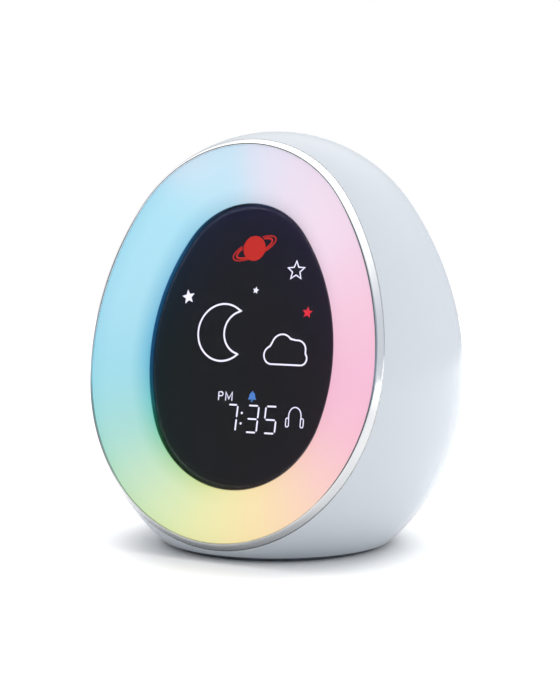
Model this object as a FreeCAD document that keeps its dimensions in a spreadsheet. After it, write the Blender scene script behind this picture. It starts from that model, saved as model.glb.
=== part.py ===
import FreeCAD, Part
import Sketcher
import math
import os

# Night-light alarm clock: an egg-shaped casing whose front is cut off by a plane
# that leans back.  Millimetres.  +Z is up, the display faces -Y, +X is to the
# viewer's right, and the origin is the centre of the resting face on the egg's axis.

V = FreeCAD.Vector
doc = FreeCAD.newDocument("night_light_clock")
sheet = doc.addObject("Spreadsheet::Sheet", "dims")

TABLE = [
    # egg form: three tangent arcs turned about the vertical axis
    ("height", 165.0, "top of the egg above the table"),
    ("belly_r", 75.5, "largest radius"),
    ("belly_z", 64.6, "height of the largest radius"),
    ("crown_r", 64.8, "radius of the top arc"),
    ("foot_r", 83.7, "radius of the lower arc"),
    ("wall", 2.4, "wall of the casing"),
    ("floor_z", 1.8, "lower rim of the casing, on the pad"),
    # the front plane
    ("tilt", 8.6, "lean of the front plane"),
    ("front_set", 40.5, "plane to axis at belly_z"),
    ("bezel_t", 2.8, "depth of the trim ring"),
    ("ledge_t", 0.9, "inner ledge of the trim ring"),
    # mouth: outline of the egg in the front plane (six tangent arcs)
    ("mouth_w", 64.39, "half width"), ("mouth_mid", 8.13, "height of the widest place"),
    ("mouth_up", 87.73, "widest place to top"), ("mouth_top_r", 54.99, "top arc"),
    ("mouth_down", 69.51, "widest place to bottom"), ("mouth_bot_r", 61.10, "bottom arc"),
    # rim: outer edge of the light ring
    ("rim_w", 61.70, "half width"), ("rim_mid", 8.52, "height of the widest place"),
    ("rim_up", 84.57, "widest place to top"), ("rim_top_r", 52.24, "top arc"),
    ("rim_down", 66.95, "widest place to bottom"), ("rim_bot_r", 58.72, "bottom arc"),
    # win: the smoked window
    ("win_w", 40.55, "half width"), ("win_mid", 12.42, "height of the widest place"),
    ("win_up", 59.96, "widest place to top"), ("win_top_r", 31.09, "top arc"),
    ("win_down", 51.10, "widest place to bottom"), ("win_bot_r", 38.44, "bottom arc"),
    # layers behind the front plane
    ("rim_n", 2.45, "front edge of the light ring"),
    ("lens_n", -6.9, "face of the window"),
    ("lens_t", 4.0, "window thickness"),
    ("film_t", 0.2, "icon film"),
    ("mask_t", 8.0, "light-block frame"),
    ("skin", 2.2, "light ring, measured along the normal"),
    ("plate_n", -15.1, "face of the reflector tray's floor"),
    ("plate_t", 2.0, "floor of the reflector tray"),
    ("pcb_t", 1.6, "circuit boards"),
    ("post_n", -34.0, "ends of the long posts"),
    ("post_r", 4.0, "long posts"),
    ("post_up_x", 50.0, "upper posts"), ("post_up_y", 38.0, "upper posts"),
    ("post_lo_x", 47.5, "lower posts"), ("post_lo_y", -22.0, "lower posts"),
    # screws
    ("pilot_r", 1.30, "screw holes in plastic"),
    ("bore_r", 3.2, "screw tunnels"),
    ("head_t", 2.0, "screw heads"),
    # loudspeaker
    ("spk_y", 66.0, "seat of the loudspeaker"), ("spk_z", 70.0, "axis height"),
    ("spk_r", 27.0, "flange"), ("spk_in", 20.9, "seat ring, inside"),
    ("spk_bolt", 24.0, "screw circle"),
    ("dot_r", 1.0, "grille holes"), ("dot_step", 4.1, "ring pitch of the grille"),
    # control panel on the upper back
    ("panel_y", 62.1, "centre"), ("panel_z", 122.0, "centre"), ("panel_tilt", 26.4, "lean of its normal"),
    ("panel_a", 17.5, "centre of the end arcs"), ("panel_r", 13.5, "end arcs"),
    ("panel_sink", 0.35, "below the casing"),
    ("key_a", 3.0, "half length between the arcs of a button"), ("key_r", 3.8, "button half height"),
    ("key_x", 18.5, "column pitch"), ("key_y", 5.6, "rows from the middle"),
    ("key_gap", 0.3, "around a button"), ("key_out", 0.9, "button above the casing"),
    ("key_flange", -10.2, "top of the button flanges"),
    ("key_board", -15.8, "top of the key board"),
    # sockets in the low back
    ("port_y", 56.8, "floor of the recess"), ("port_z", 28.5, "middle"),
    ("port_w", 21.0, "half width of the cup"), ("port_h", 7.5, "half height of the cup"),
    ("port_wall", 1.5, "cup wall"), ("port_corner", 5.0, "corner radius"),
    ("plug_r", 1.8, "bore of the 3.5 mm socket"),
    ("knob_x", 12.0, "power switch, middle of its slot"), ("knob_travel", 3.0, "power switch"),
    # main board and base
    ("board_z", 24.0, "underside of the main board"),
    ("board_w", 27.0, "half width"), ("board_y0", -12.0, "front edge"), ("board_y1", 54.5, "rear edge"),
    ("base_r", 43.1, "base plate"), ("base_t", 2.0, "base plate"),
    ("pad_r", 44.0, "foot pad"),
    ("lug", 26.2, "base screws, both ways from the axis"), ("lug_r", 3.5, "base screw bosses"),
    ("cell_r", 9.2, "battery"), ("cell_l", 65.0, "battery"), ("cell_y", 10.0, "battery"),
]
for row, (alias, value, note) in enumerate(TABLE, start=1):
    sheet.set("A%d" % row, alias)
    sheet.set("B%d" % row, str(value))
    sheet.set("C%d" % row, note)
    sheet.setAlias("B%d" % row, alias)
doc.recompute()


class Dim:
    """A dimension: the number it has now and the sheet expression it comes from."""

    def __init__(self, text, value):
        self.text, self.value = text, float(value)

    @property
    def bound(self):
        return "dims." in self.text

    def __add__(self, o):
        o = dim(o)
        return Dim("(%s + %s)" % (self.text, o.text), self.value + o.value)

    def __sub__(self, o):
        o = dim(o)
        return Dim("(%s - %s)" % (self.text, o.text), self.value - o.value)

    def __mul__(self, o):
        o = dim(o)
        return Dim("(%s * %s)" % (self.text, o.text), self.value * o.value)

    def __truediv__(self, o):
        o = dim(o)
        return Dim("(%s / %s)" % (self.text, o.text), self.value / o.value)

    def __neg__(self):
        return Dim("(-%s)" % self.text, -self.value)

    def __radd__(self, o):
        return dim(o) + self

    def __rsub__(self, o):
        return dim(o) - self

    def __rmul__(self, o):
        return dim(o) * self


def dim(x):
    return x if isinstance(x, Dim) else Dim("(%r)" % float(x), x)


D = {a: Dim("dims." + a, float(sheet.get(a))) for a, _, _ in TABLE}
d = {a: D[a].value for a in D}

# The side arc is tangent to the belly and to the crown arc.
SIDE_R = ((D["height"] - D["belly_z"] - D["crown_r"]) * (D["height"] - D["belly_z"] - D["crown_r"])
          + D["belly_r"] * D["belly_r"] - D["crown_r"] * D["crown_r"]) / (2 * (D["belly_r"] - D["crown_r"]))

WORLD = ((0, 0, 0), 0)
FRONT = ((0, -D["front_set"], D["belly_z"]), 90 - D["tilt"])        # local z leaves the display
SPEAKER = ((0, D["spk_y"], D["spk_z"]), -90)                        # local z is +Y
PANEL = ((0, D["panel_y"], D["panel_z"]), D["panel_tilt"] - 90)     # local z leaves the upper back
PORTS = ((0, D["port_y"], D["port_z"]), -90)                        # local z is +Y, local y is down
HALF_TURN = -90


# ------------------------------------------------------------------ helpers

def place(obj, frame):
    base, turn = [dim(c) for c in frame[0]], dim(frame[1])
    obj.Placement = FreeCAD.Placement(V(*[c.value for c in base]), FreeCAD.Rotation(V(1, 0, 0), turn.value))
    for axis, c in zip("xyz", base):
        if c.bound:
            obj.setExpression("Placement.Base." + axis, c.text)
    if turn.bound:
        obj.setExpression("Placement.Rotation.Angle", turn.text)


def placement(frame):
    base, turn = [dim(c) for c in frame[0]], dim(frame[1])
    return FreeCAD.Placement(V(*[c.value for c in base]), FreeCAD.Rotation(V(1, 0, 0), turn.value))


def put(obj, prop, value):
    value = dim(value)
    setattr(obj, prop, value.value)
    if value.bound:
        obj.setExpression(prop, value.text)


def new_body(name, frame=WORLD):
    b = doc.addObject("PartDesign::Body", name)
    b.Label = name
    place(b, frame)
    return b


def sketch(b, at=0.0, role="XY_Plane", frame=None):
    s = b.newObject("Sketcher::SketchObject", b.Name + "_sketch")
    s.AttachmentSupport = [([f for f in b.Origin.OriginFeatures if f.Role == role][0], "")]
    s.MapMode = "FlatFace"
    if frame is not None:
        base, turn = [dim(c) for c in frame[0]], dim(frame[1])
        s.AttachmentOffset = placement(frame)
        for axis, c in zip("xyz", base):
            if c.bound:
                s.setExpression("AttachmentOffset.Base." + axis, c.text)
        if turn.bound:
            s.setExpression("AttachmentOffset.Rotation.Angle", turn.text)
        return s
    at = dim(at)
    s.AttachmentOffset = FreeCAD.Placement(V(0, 0, at.value), FreeCAD.Rotation())
    if at.bound:
        s.setExpression("AttachmentOffset.Base.z", at.text)
    return s


def fix(s, kind, *args):
    """One driving dimension of a sketch; the last argument is its size."""
    size = dim(args[-1])
    i = s.addConstraint(Sketcher.Constraint(kind, *args[:-1], size.value))
    if size.bound:
        s.setExpression("Constraints[%d]" % i, size.text)


def pin(s, geo, pos, x, y):
    x, y = dim(x), dim(y)
    if abs(x.value) < 1e-9 and not x.bound:
        s.addConstraint(Sketcher.Constraint("PointOnObject", geo, pos, -2))
    else:
        fix(s, "DistanceX", -1, 1, geo, pos, x)
    if abs(y.value) < 1e-9 and not y.bound:
        s.addConstraint(Sketcher.Constraint("PointOnObject", geo, pos, -1))
    else:
        fix(s, "DistanceY", -1, 1, geo, pos, y)


def circle(s, x, y, r):
    x, y, r = dim(x), dim(y), dim(r)
    g = s.addGeometry(Part.Circle(V(x.value, y.value, 0), V(0, 0, 1), r.value), False)
    if abs(x.value) < 1e-9 and abs(y.value) < 1e-9 and not (x.bound or y.bound):
        s.addConstraint(Sketcher.Constraint("Coincident", g, 3, -1, 1))
    else:
        pin(s, g, 3, x, y)
    fix(s, "Radius", g, r)


def poly(s, points):
    """A closed outline of straight lines, every corner dimensioned from the origin."""
    pts = [(dim(x), dim(y)) for x, y in points]
    n = len(pts)
    ids = [s.addGeometry(Part.LineSegment(V(pts[i][0].value, pts[i][1].value, 0),
                                          V(pts[(i + 1) % n][0].value, pts[(i + 1) % n][1].value, 0)), False)
           for i in range(n)]
    for i in range(n):
        s.addConstraint(Sketcher.Constraint("Coincident", ids[i], 2, ids[(i + 1) % n], 1))
    for i in range(n):
        pin(s, ids[i], 1, *pts[i])


def rounded(s, centres, r):
    """The outline around equal circles at these centres, taken anticlockwise."""
    c = [(dim(x), dim(y)) for x, y in centres]
    r = dim(r)
    n = len(c)
    turn = []
    for i in range(n):
        a, b = c[i], c[(i + 1) % n]
        turn.append(math.atan2(-(b[0].value - a[0].value), b[1].value - a[1].value))
    arcs, lines = [], []
    for i in range(n):
        a0, a1 = turn[i - 1], turn[i]
        while a1 <= a0:
            a1 += 2 * math.pi
        arcs.append(s.addGeometry(Part.ArcOfCircle(
            Part.Circle(V(c[i][0].value, c[i][1].value, 0), V(0, 0, 1), r.value), a0, a1), False))
    for i in range(n):
        a, b, t = c[i], c[(i + 1) % n], turn[i]
        off = V(math.cos(t), math.sin(t), 0) * r.value
        lines.append(s.addGeometry(Part.LineSegment(V(a[0].value, a[1].value, 0) + off,
                                                    V(b[0].value, b[1].value, 0) + off), False))
    for i in range(n):
        s.addConstraint(Sketcher.Constraint("Tangent", arcs[i], 2, lines[i], 1))
        s.addConstraint(Sketcher.Constraint("Tangent", lines[i], 2, arcs[(i + 1) % n], 1))
    for i in range(n):
        pin(s, arcs[i], 3, *c[i])
        fix(s, "Radius", arcs[i], r)


def pill(s, x, y, half, r):
    x, y = dim(x), dim(y)
    rounded(s, [(x - half, y), (x + half, y)], r)


def rect(s, x, y, hw, hh):
    x, y = dim(x), dim(y)
    poly(s, [(x - hw, y - hh), (x + hw, y - hh), (x + hw, y + hh), (x - hw, y + hh)])


def soft_rect(s, x, y, hw, hh, r):
    x, y, hw, hh = dim(x), dim(y), dim(hw), dim(hh)
    rounded(s, [(x - hw + r, y - hh + r), (x + hw - r, y - hh + r),
                (x + hw - r, y + hh - r), (x - hw + r, y + hh - r)], r)


def egg_sizes(key, off=0.0):
    off = dim(off)
    return (D[key + "_w"] + off, D[key + "_mid"], D[key + "_up"] + off, D[key + "_top_r"] + off,
            D[key + "_down"] + off, D[key + "_bot_r"] + off)


def between(a, b, t):
    return [p + (q - p) * t for p, q in zip(a, b)]


def egg_outline(s, sizes):
    """Egg outline of six tangent arcs, symmetric about the sketch's y axis."""
    w, mid, up, tr, down, br = sizes
    W, M, U, TR, DN, BR = [x.value for x in sizes]
    ru = (W * W + (U - TR) ** 2 - TR ** 2) / (2 * (W - TR))
    rd = (W * W + (DN - BR) ** 2 - BR ** 2) / (2 * (W - BR))
    au, ad = math.atan2(U - TR, ru - W), math.atan2(DN - BR, rd - W)
    data = [(W - ru, M, ru, 0, au), (0, M + U - TR, TR, au, math.pi - au), (ru - W, M, ru, math.pi - au, math.pi),
            (rd - W, M, rd, math.pi, math.pi + ad), (0, M - DN + BR, BR, math.pi + ad, 2 * math.pi - ad),
            (W - rd, M, rd, -ad, 0)]
    g = [s.addGeometry(Part.ArcOfCircle(Part.Circle(V(x, y, 0), V(0, 0, 1), r), a, b), False)
         for x, y, r, a, b in data]
    for i, kind in enumerate(["Tangent", "Tangent", "Coincident", "Tangent", "Tangent", "Coincident"]):
        s.addConstraint(Sketcher.Constraint(kind, g[i], 2, g[(i + 1) % 6], 1))
    fix(s, "DistanceX", -1, 1, g[0], 1, w)
    fix(s, "DistanceY", -1, 1, g[0], 1, mid)
    fix(s, "DistanceX", -1, 1, g[2], 2, -w)
    fix(s, "DistanceY", -1, 1, g[2], 2, mid)
    for side, end, pos in ((0, 0, 1), (2, 2, 2), (3, 3, 1), (5, 5, 2)):
        s.addConstraint(Sketcher.Constraint("Horizontal", g[side], 3, g[end], pos))
    s.addConstraint(Sketcher.Constraint("PointOnObject", g[1], 3, -2))
    s.addConstraint(Sketcher.Constraint("PointOnObject", g[4], 3, -2))
    fix(s, "DistanceY", -1, 1, g[1], 3, mid + up - tr)
    fix(s, "DistanceY", -1, 1, g[4], 3, mid - down + br)
    fix(s, "Radius", g[1], tr)
    fix(s, "Radius", g[4], br)


def feature(b, kind, s, **more):
    f = b.newObject("PartDesign::" + kind, b.Name + "_" + kind.lower())
    f.Profile = s
    for k, v in more.items():
        if k in ("Length", "Angle"):
            put(f, k, v)
        else:
            setattr(f, k, v)
    b.Tip = f
    return f


def pad(b, s, length, back=False):
    return feature(b, "Pad", s, Length=length, Reversed=back)


def pocket(b, s, depth, outward=False):
    return feature(b, "Pocket", s, Length=depth, Reversed=outward)


def revolve(b, s, kind="Revolution"):
    f = feature(b, kind, s, Angle=360)
    f.ReferenceAxis = (s, ["V_Axis"])
    return f


def prism(name, frame, z0, z1, draw):
    """A straight extrusion from local height z0 to z1."""
    b = new_body(name, frame)
    s = sketch(b, z0)
    draw(s)
    pad(b, s, dim(z1) - z0)
    return b


def turned(name, frame, points):
    """A turned piece: points are (radius, local height)."""
    b = new_body(name, frame)
    s = sketch(b, 0, "XZ_Plane")
    poly(s, points)
    revolve(b, s)
    return b


def egg_form(name, off, floor):
    """The solid egg, its skin moved outwards by off, standing on height floor."""
    off = dim(off)
    b = new_body(name)
    s = sketch(b, 0, "XZ_Plane")
    rm, zm, rt, rl, H = D["belly_r"] + off, D["belly_z"], D["crown_r"] + off, D["foot_r"] + off, D["height"] + off
    rs = SIDE_R + off
    RM, ZM, RT, RL, HH, RS, F = rm.value, zm.value, rt.value, rl.value, H.value, rs.value, dim(floor).value
    aj = math.atan2(HH - RT - ZM, RS - RM)
    rf = RM - RL + math.sqrt(RL ** 2 - (ZM - F) ** 2)
    g0 = s.addGeometry(Part.LineSegment(V(0, F, 0), V(rf, F, 0)), False)
    g1 = s.addGeometry(Part.ArcOfCircle(Part.Circle(V(RM - RL, ZM, 0), V(0, 0, 1), RL),
                                        math.atan2(F - ZM, rf - RM + RL), 0), False)
    g2 = s.addGeometry(Part.ArcOfCircle(Part.Circle(V(RM - RS, ZM, 0), V(0, 0, 1), RS), 0, aj), False)
    g3 = s.addGeometry(Part.ArcOfCircle(Part.Circle(V(0, HH - RT, 0), V(0, 0, 1), RT), aj, math.pi / 2), False)
    g4 = s.addGeometry(Part.LineSegment(V(0, HH, 0), V(0, F, 0)), False)
    for kind, a, ap, c, cp in (("Coincident", g0, 2, g1, 1), ("Coincident", g1, 2, g2, 1), ("Tangent", g2, 2, g3, 1),
                               ("Coincident", g3, 2, g4, 1), ("Coincident", g4, 2, g0, 1)):
        s.addConstraint(Sketcher.Constraint(kind, a, ap, c, cp))
    s.addConstraint(Sketcher.Constraint("Horizontal", g0))
    s.addConstraint(Sketcher.Constraint("Vertical", g4))
    pin(s, g0, 1, 0, floor)
    fix(s, "DistanceX", -1, 1, g2, 1, rm)
    fix(s, "DistanceY", -1, 1, g2, 1, zm)
    s.addConstraint(Sketcher.Constraint("Horizontal", g1, 3, g1, 2))
    s.addConstraint(Sketcher.Constraint("Horizontal", g2, 3, g2, 1))
    fix(s, "Radius", g1, rl)
    s.addConstraint(Sketcher.Constraint("PointOnObject", g3, 3, -2))
    fix(s, "Radius", g3, rt)
    fix(s, "DistanceY", -1, 1, g3, 3, H - rt)
    revolve(b, s)
    return b


def common(name, a, b):
    f = doc.addObject("Part::Common", name)
    f.Base, f.Tool, f.Label = a, b, name
    return f


def cut(name, a, b):
    f = doc.addObject("Part::Cut", name)
    f.Base, f.Tool, f.Label = a, b, name
    return f


def fuse(name, items):
    f = doc.addObject("Part::MultiFuse", name)
    f.Shapes, f.Label = items, name
    return f


def compound(name, items):
    f = doc.addObject("Part::Compound", name)
    f.Links, f.Label = items, name
    return f


def group(name, shapes, frame=WORLD):
    """Several equal loose solids as one piece, sized from the sheet's numbers."""
    f = doc.addObject("Part::Feature", name)
    f.Label = name
    f.Shape = Part.makeCompound(shapes)
    f.Placement = placement(frame)
    return f


PIECES = []


def keep(*objs):
    PIECES.extend(objs)
    return objs[0]


# ------------------------------------------------------------------ egg forms

egg = egg_form("form_skin", 0, D["floor_z"])
egg_inner = egg_form("form_inside", -D["wall"], 0.5)
egg_under = egg_form("form_under_skin", -0.8, D["floor_z"])
egg_flange_out = egg_form("form_flange_outside", -(D["wall"] + 0.1), 0.5)
egg_flange_in = egg_form("form_flange_inside", -(D["wall"] + 1.2), 0.5)
egg_panel = egg_form("form_panel_face", -D["panel_sink"], D["floor_z"])
egg_key = egg_form("form_button_face", D["key_out"], D["floor_z"])

# ------------------------------------------------------------------ rear casing

shell = new_body("shell_wall")
s = sketch(shell, 0, "XZ_Plane")
# outer and inner skins as one closed wall profile
rm, zm, rt, rl, H = D["belly_r"], D["belly_z"], D["crown_r"], D["foot_r"], D["height"]


def skin_arcs(s, off):
    rm_, rt_, rl_, rs_, H_ = rm + off, rt + off, rl + off, SIDE_R + off, H + off
    RM, RT, RL, RS, HH, ZM, F = rm_.value, rt_.value, rl_.value, rs_.value, H_.value, zm.value, d["floor_z"]
    aj = math.atan2(HH - RT - ZM, RS - RM)
    rf = RM - RL + math.sqrt(RL ** 2 - (ZM - F) ** 2)
    g1 = s.addGeometry(Part.ArcOfCircle(Part.Circle(V(RM - RL, ZM, 0), V(0, 0, 1), RL),
                                        math.atan2(F - ZM, rf - RM + RL), 0), False)
    g2 = s.addGeometry(Part.ArcOfCircle(Part.Circle(V(RM - RS, ZM, 0), V(0, 0, 1), RS), 0, aj), False)
    g3 = s.addGeometry(Part.ArcOfCircle(Part.Circle(V(0, HH - RT, 0), V(0, 0, 1), RT), aj, math.pi / 2), False)
    s.addConstraint(Sketcher.Constraint("Coincident", g1, 2, g2, 1))
    s.addConstraint(Sketcher.Constraint("Tangent", g2, 2, g3, 1))
    fix(s, "DistanceX", -1, 1, g2, 1, rm_)
    fix(s, "DistanceY", -1, 1, g2, 1, zm)
    s.addConstraint(Sketcher.Constraint("Horizontal", g1, 3, g1, 2))
    s.addConstraint(Sketcher.Constraint("Horizontal", g2, 3, g2, 1))
    fix(s, "Radius", g1, rl_)
    fix(s, "DistanceY", -1, 1, g1, 1, D["floor_z"])
    s.addConstraint(Sketcher.Constraint("PointOnObject", g3, 3, -2))
    s.addConstraint(Sketcher.Constraint("PointOnObject", g3, 2, -2))
    fix(s, "Radius", g3, rt_)
    fix(s, "DistanceY", -1, 1, g3, 3, H_ - rt_)
    return g1, g3, V(rf, F, 0), V(0, HH, 0)


o1, o3, pf, pt = skin_arcs(s, dim(0))
i1, i3, qf, qt = skin_arcs(s, -D["wall"])
low = s.addGeometry(Part.LineSegment(qf, pf), False)
top = s.addGeometry(Part.LineSegment(pt, qt), False)
for a, ap, c, cp in ((low, 1, i1, 1), (low, 2, o1, 1), (top, 1, o3, 2), (top, 2, i3, 2)):
    s.addConstraint(Sketcher.Constraint("Coincident", a, ap, c, cp))
revolve(shell, s)

# grille: one hole in the middle and four rings of 6, 12, 18 and 24
s = sketch(shell, 0, frame=((0, D["spk_y"], D["spk_z"]), HALF_TURN))
circle(s, 0, 0, D["dot_r"])
pocket(shell, s, 20, outward=True)
for ring in (1, 2, 3, 4):
    s = sketch(shell, 0, frame=((0, D["spk_y"], D["spk_z"]), HALF_TURN))
    circle(s, D["dot_step"] * ring, 0, D["dot_r"])
    hole = pocket(shell, s, 20, outward=True)
    rows = shell.newObject("PartDesign::PolarPattern", "grille_ring_%d" % ring)
    rows.Originals = [hole]
    rows.Axis = (s, ["N_Axis"])
    rows.Angle = 360
    rows.Occurrences = 6 * ring
    shell.Tip = rows
# windows for the control panel and for the socket cup
s = sketch(shell, 0, frame=PANEL)
pill(s, 0, 0, D["panel_a"], D["panel_r"] + 0.12)
pocket(shell, s, 25)
s = sketch(shell, 0, frame=((0, D["port_y"], D["port_z"]), HALF_TURN))
soft_rect(s, 0, 0, D["port_w"] + 0.12, D["port_h"] + 0.12, D["port_corner"])
pocket(shell, s, 30, outward=True)

posts = [("up", D["post_up_x"], D["post_up_y"]), ("lo", D["post_lo_x"], D["post_lo_y"])]
parts_of_tunnels = []
for tag, px, py in posts:
    for side, sx in (("l", -1), ("r", 1)):
        parts_of_tunnels.append(prism("form_tunnel_%s_%s" % (tag, side), FRONT, -160, D["post_n"] - 0.1,
                                      lambda s, sx=sx, px=px, py=py: circle(s, sx * px, py, D["post_r"] + 0.4)))
seat = prism("form_seat_ring", SPEAKER, 0, 14, lambda s: (circle(s, 0, 0, D["spk_r"] + 1), circle(s, 0, 0, D["spk_in"])))
lugs = []
for i, (sx, sy) in enumerate(((1, 1), (-1, 1), (-1, -1), (1, -1))):
    lugs.append(prism("form_lug_%d" % i, WORLD, D["floor_z"] + D["base_t"] + 0.02, 16,
                      lambda s, sx=sx, sy=sy: circle(s, sx * D["lug"], sy * D["lug"], D["lug_r"])))
    lugs.append(prism("form_rib_%d" % i, WORLD, 5.0, 16,
                      lambda s, sx=sx, sy=sy: poly(s, [
                          (sx * (D["lug"] - 0.7), sy * (D["lug"] + 0.7)), (sx * (D["lug"] + 0.7), sy * (D["lug"] - 0.7)),
                          (sx * (D["lug"] + 20.7), sy * (D["lug"] + 19.3)), (sx * (D["lug"] + 19.3), sy * (D["lug"] + 20.7))] if sy > 0 else [
                          (sx * D["lug"], sy * (D["lug"] - 1)), (sx * (D["lug"] + 26), sy * (D["lug"] - 1)),
                          (sx * (D["lug"] + 26), sy * (D["lug"] + 1)), (sx * D["lug"], sy * (D["lug"] + 1))])))
inner_forms = common("form_inner_features", fuse("form_all_inner", parts_of_tunnels + [seat] + lugs), egg_under)
shell_full = fuse("form_shell_full", [shell, inner_forms])

drills = []
for tag, px, py in posts:
    for side, sx in (("l", -1), ("r", 1)):
        drills.append(prism("form_bore_%s_%s" % (tag, side), FRONT, -160, D["post_n"] - 2.1,
                            lambda s, sx=sx, px=px, py=py: circle(s, sx * px, py, D["bore_r"])))
        drills.append(prism("form_pilot_%s_%s" % (tag, side), FRONT, D["post_n"] - 3, D["post_n"] + 3,
                            lambda s, sx=sx, px=px, py=py: circle(s, sx * px, py, D["pilot_r"] + 0.3)))
for i in range(4):
    a = math.pi / 4 + i * math.pi / 2
    ca, sa = round(math.cos(a), 6), round(math.sin(a), 6)
    drills.append(prism("form_seat_pilot_%d" % i, SPEAKER, -1, 3.4,
                        lambda s, ca=ca, sa=sa: circle(s, D["spk_bolt"] * ca, D["spk_bolt"] * sa, D["pilot_r"])))
for i, (sx, sy) in enumerate(((1, 1), (-1, 1), (-1, -1), (1, -1))):
    drills.append(prism("form_lug_pilot_%d" % i, WORLD, 0, 14,
                        lambda s, sx=sx, sy=sy: circle(s, sx * D["lug"], sy * D["lug"], D["pilot_r"])))
front_half = prism("form_front_half", FRONT, 0, 120, lambda s: rect(s, 0, 0, 130, 160))
rear_shell = keep(cut("rear_shell", shell_full, fuse("form_shell_cuts", drills + [front_half])))

# ------------------------------------------------------------------ trim ring

slab = prism("form_bezel_slab", FRONT, 0, D["bezel_t"], lambda s: rect(s, 0, 0, 130, 160))
bezel_holes = fuse("form_bezel_holes", [
    prism("form_bezel_seat", FRONT, D["ledge_t"], D["bezel_t"] + 1, lambda s: egg_outline(s, egg_sizes("rim"))),
    prism("form_bezel_open", FRONT, -1, D["bezel_t"] + 1, lambda s: egg_outline(s, egg_sizes("mouth", -4.6)))])
keep(cut("chrome_bezel", common("form_bezel", egg, slab), bezel_holes))

# ------------------------------------------------------------------ light ring
# A dish: from its rim the face falls away slowly and then more steeply to the window.

RIM, WIN = egg_sizes("rim", -0.1), egg_sizes("win")
FALL = D["rim_n"] - D["lens_n"]
STEPS = [(0.0, 0.0), (0.12, 0.0571), (0.32, 0.2147), (0.6, 0.5017), (1.0, 1.0)]   # share of the way in, share of the fall

ring = new_body("light_ring_diffuser", FRONT)
secs = []
BACK = egg_sizes("rim", -2.6)
for t, fall in STEPS:
    s = sketch(ring, D["rim_n"] - D["skin"] - FALL * fall)
    egg_outline(s, between(BACK, WIN, t))
    secs.append(s)
loft = ring.newObject("PartDesign::AdditiveLoft", "ring_back")
loft.Profile, loft.Sections = secs[0], secs[1:]
ring.Tip = loft
s = sketch(ring, D["ledge_t"])
egg_outline(s, egg_sizes("rim", -0.1))
pad(ring, s, D["rim_n"] - D["ledge_t"])
s = sketch(ring, D["rim_n"] - D["skin"])
egg_outline(s, egg_sizes("rim", -2.6))
pad(ring, s, D["ledge_t"] + 0.2 - (D["rim_n"] - D["skin"]))
s = sketch(ring, D["lens_n"] - D["lens_t"] - D["film_t"])
egg_outline(s, egg_sizes("win", 1.4))
pad(ring, s, D["lens_t"] - 0.3)   # ends well inside the dish, not along its back
secs = []
for t, fall in STEPS:
    s = sketch(ring, D["rim_n"] - FALL * fall)
    egg_outline(s, between(RIM, WIN, t))
    secs.append(s)
hollow = ring.newObject("PartDesign::SubtractiveLoft", "ring_face")
hollow.Profile, hollow.Sections = secs[0], secs[1:]
ring.Tip = hollow
s = sketch(ring, 0)
egg_outline(s, WIN)
pocket(ring, s, 20)
keep(ring)

# ------------------------------------------------------------------ window and display

lens = prism("display_lens", FRONT, D["lens_n"] - D["lens_t"], D["lens_n"], lambda s: egg_outline(s, egg_sizes("win", -0.08)))
doc.recompute()
plain = lens.Tip
face = max(range(len(plain.Shape.Faces)), key=lambda i: plain.Shape.Faces[i].CenterOfMass.z)
edge = lens.newObject("PartDesign::Fillet", "lens_edge")
edge.Base = (plain, ["Face%d" % (face + 1)])
put(edge, "Radius", 0.35)
lens.Tip = edge
keep(lens)
keep(prism("icon_film", FRONT, D["lens_n"] - D["lens_t"] - D["film_t"], D["lens_n"] - D["lens_t"],
           lambda s: egg_outline(s, egg_sizes("win", -0.15))))
MASK_TOP = D["lens_n"] - D["lens_t"] - D["film_t"]
mask = prism("icon_mask", FRONT, MASK_TOP - D["mask_t"], MASK_TOP, lambda s: egg_outline(s, egg_sizes("win", -0.25)))
# light wells: round ones (x, y, radius) and square ones (x, y, half width, half height)
ROUND_WELLS = [(-4.0, 56.5, 10.0), (21.5, 46.0, 4.5), (-26.0, 36.0, 4.0), (27.5, 30.0, 3.5)]
BOX_WELLS = [(-9.0, 22.0, 13.0, 13.5), (19.5, 15.5, 11.0, 7.5), (1.0, -4.2, 16.0, 2.6), (4.0, -13.0, 14.5, 5.6), (25.0, -11.5, 5.5, 5.0)]
for x, y, r in ROUND_WELLS:
    s = sketch(mask, MASK_TOP)
    circle(s, x, y, r)
    pocket(mask, s, D["mask_t"] + 1)
for x, y, hw, hh in BOX_WELLS:
    s = sketch(mask, MASK_TOP)
    soft_rect(s, x, y, hw, hh, 1.2)
    pocket(mask, s, D["mask_t"] + 1)
keep(mask)

BOARD_TOP = MASK_TOP - D["mask_t"]
SPOTS = [(D_x, D_y) for D_x, D_y in ((41.3, 34.0), (-41.3, 34.0), (39.7, -14.0), (-39.7, -14.0))]
board = prism("display_board", FRONT, BOARD_TOP - D["pcb_t"], BOARD_TOP, lambda s: egg_outline(s, egg_sizes("win", 5.6)))
s = sketch(board, BOARD_TOP)
for x, y in SPOTS:
    circle(s, x, y, D["pilot_r"] + 0.2)
pocket(board, s, 5)
keep(board)


def block(x, y, z, dx, dy, dz):
    """A box centred on x, y that stands on z."""
    return Part.makeBox(dx, dy, dz, V(x - dx / 2.0, y - dy / 2.0, z))


bt = BOARD_TOP.value
leds = []
for x, y, r in ROUND_WELLS:
    leds.append(block(x, y, bt, 3.2, 2.8, 1.4))
for x, y, hw, hh in BOX_WELLS:
    nx = max(1, int(hw // 4.2))
    ny = max(1, int(hh // 4.2))
    for i in range(nx):
        for j in range(ny):
            leds.append(block(x + (i - (nx - 1) / 2.0) * 2 * hw / nx, y + (j - (ny - 1) / 2.0) * 2 * hh / ny, bt, 3.2, 2.8, 1.4))
keep(group("display_leds", leds, FRONT))

# ------------------------------------------------------------------ reflector tray that carries the front parts

# the line along the middle of the light ring, measured from its top
mid_sizes = [x.value for x in between(egg_sizes("mouth", -5.7), egg_sizes("win", 2.1), dim(0.5))]


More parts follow.
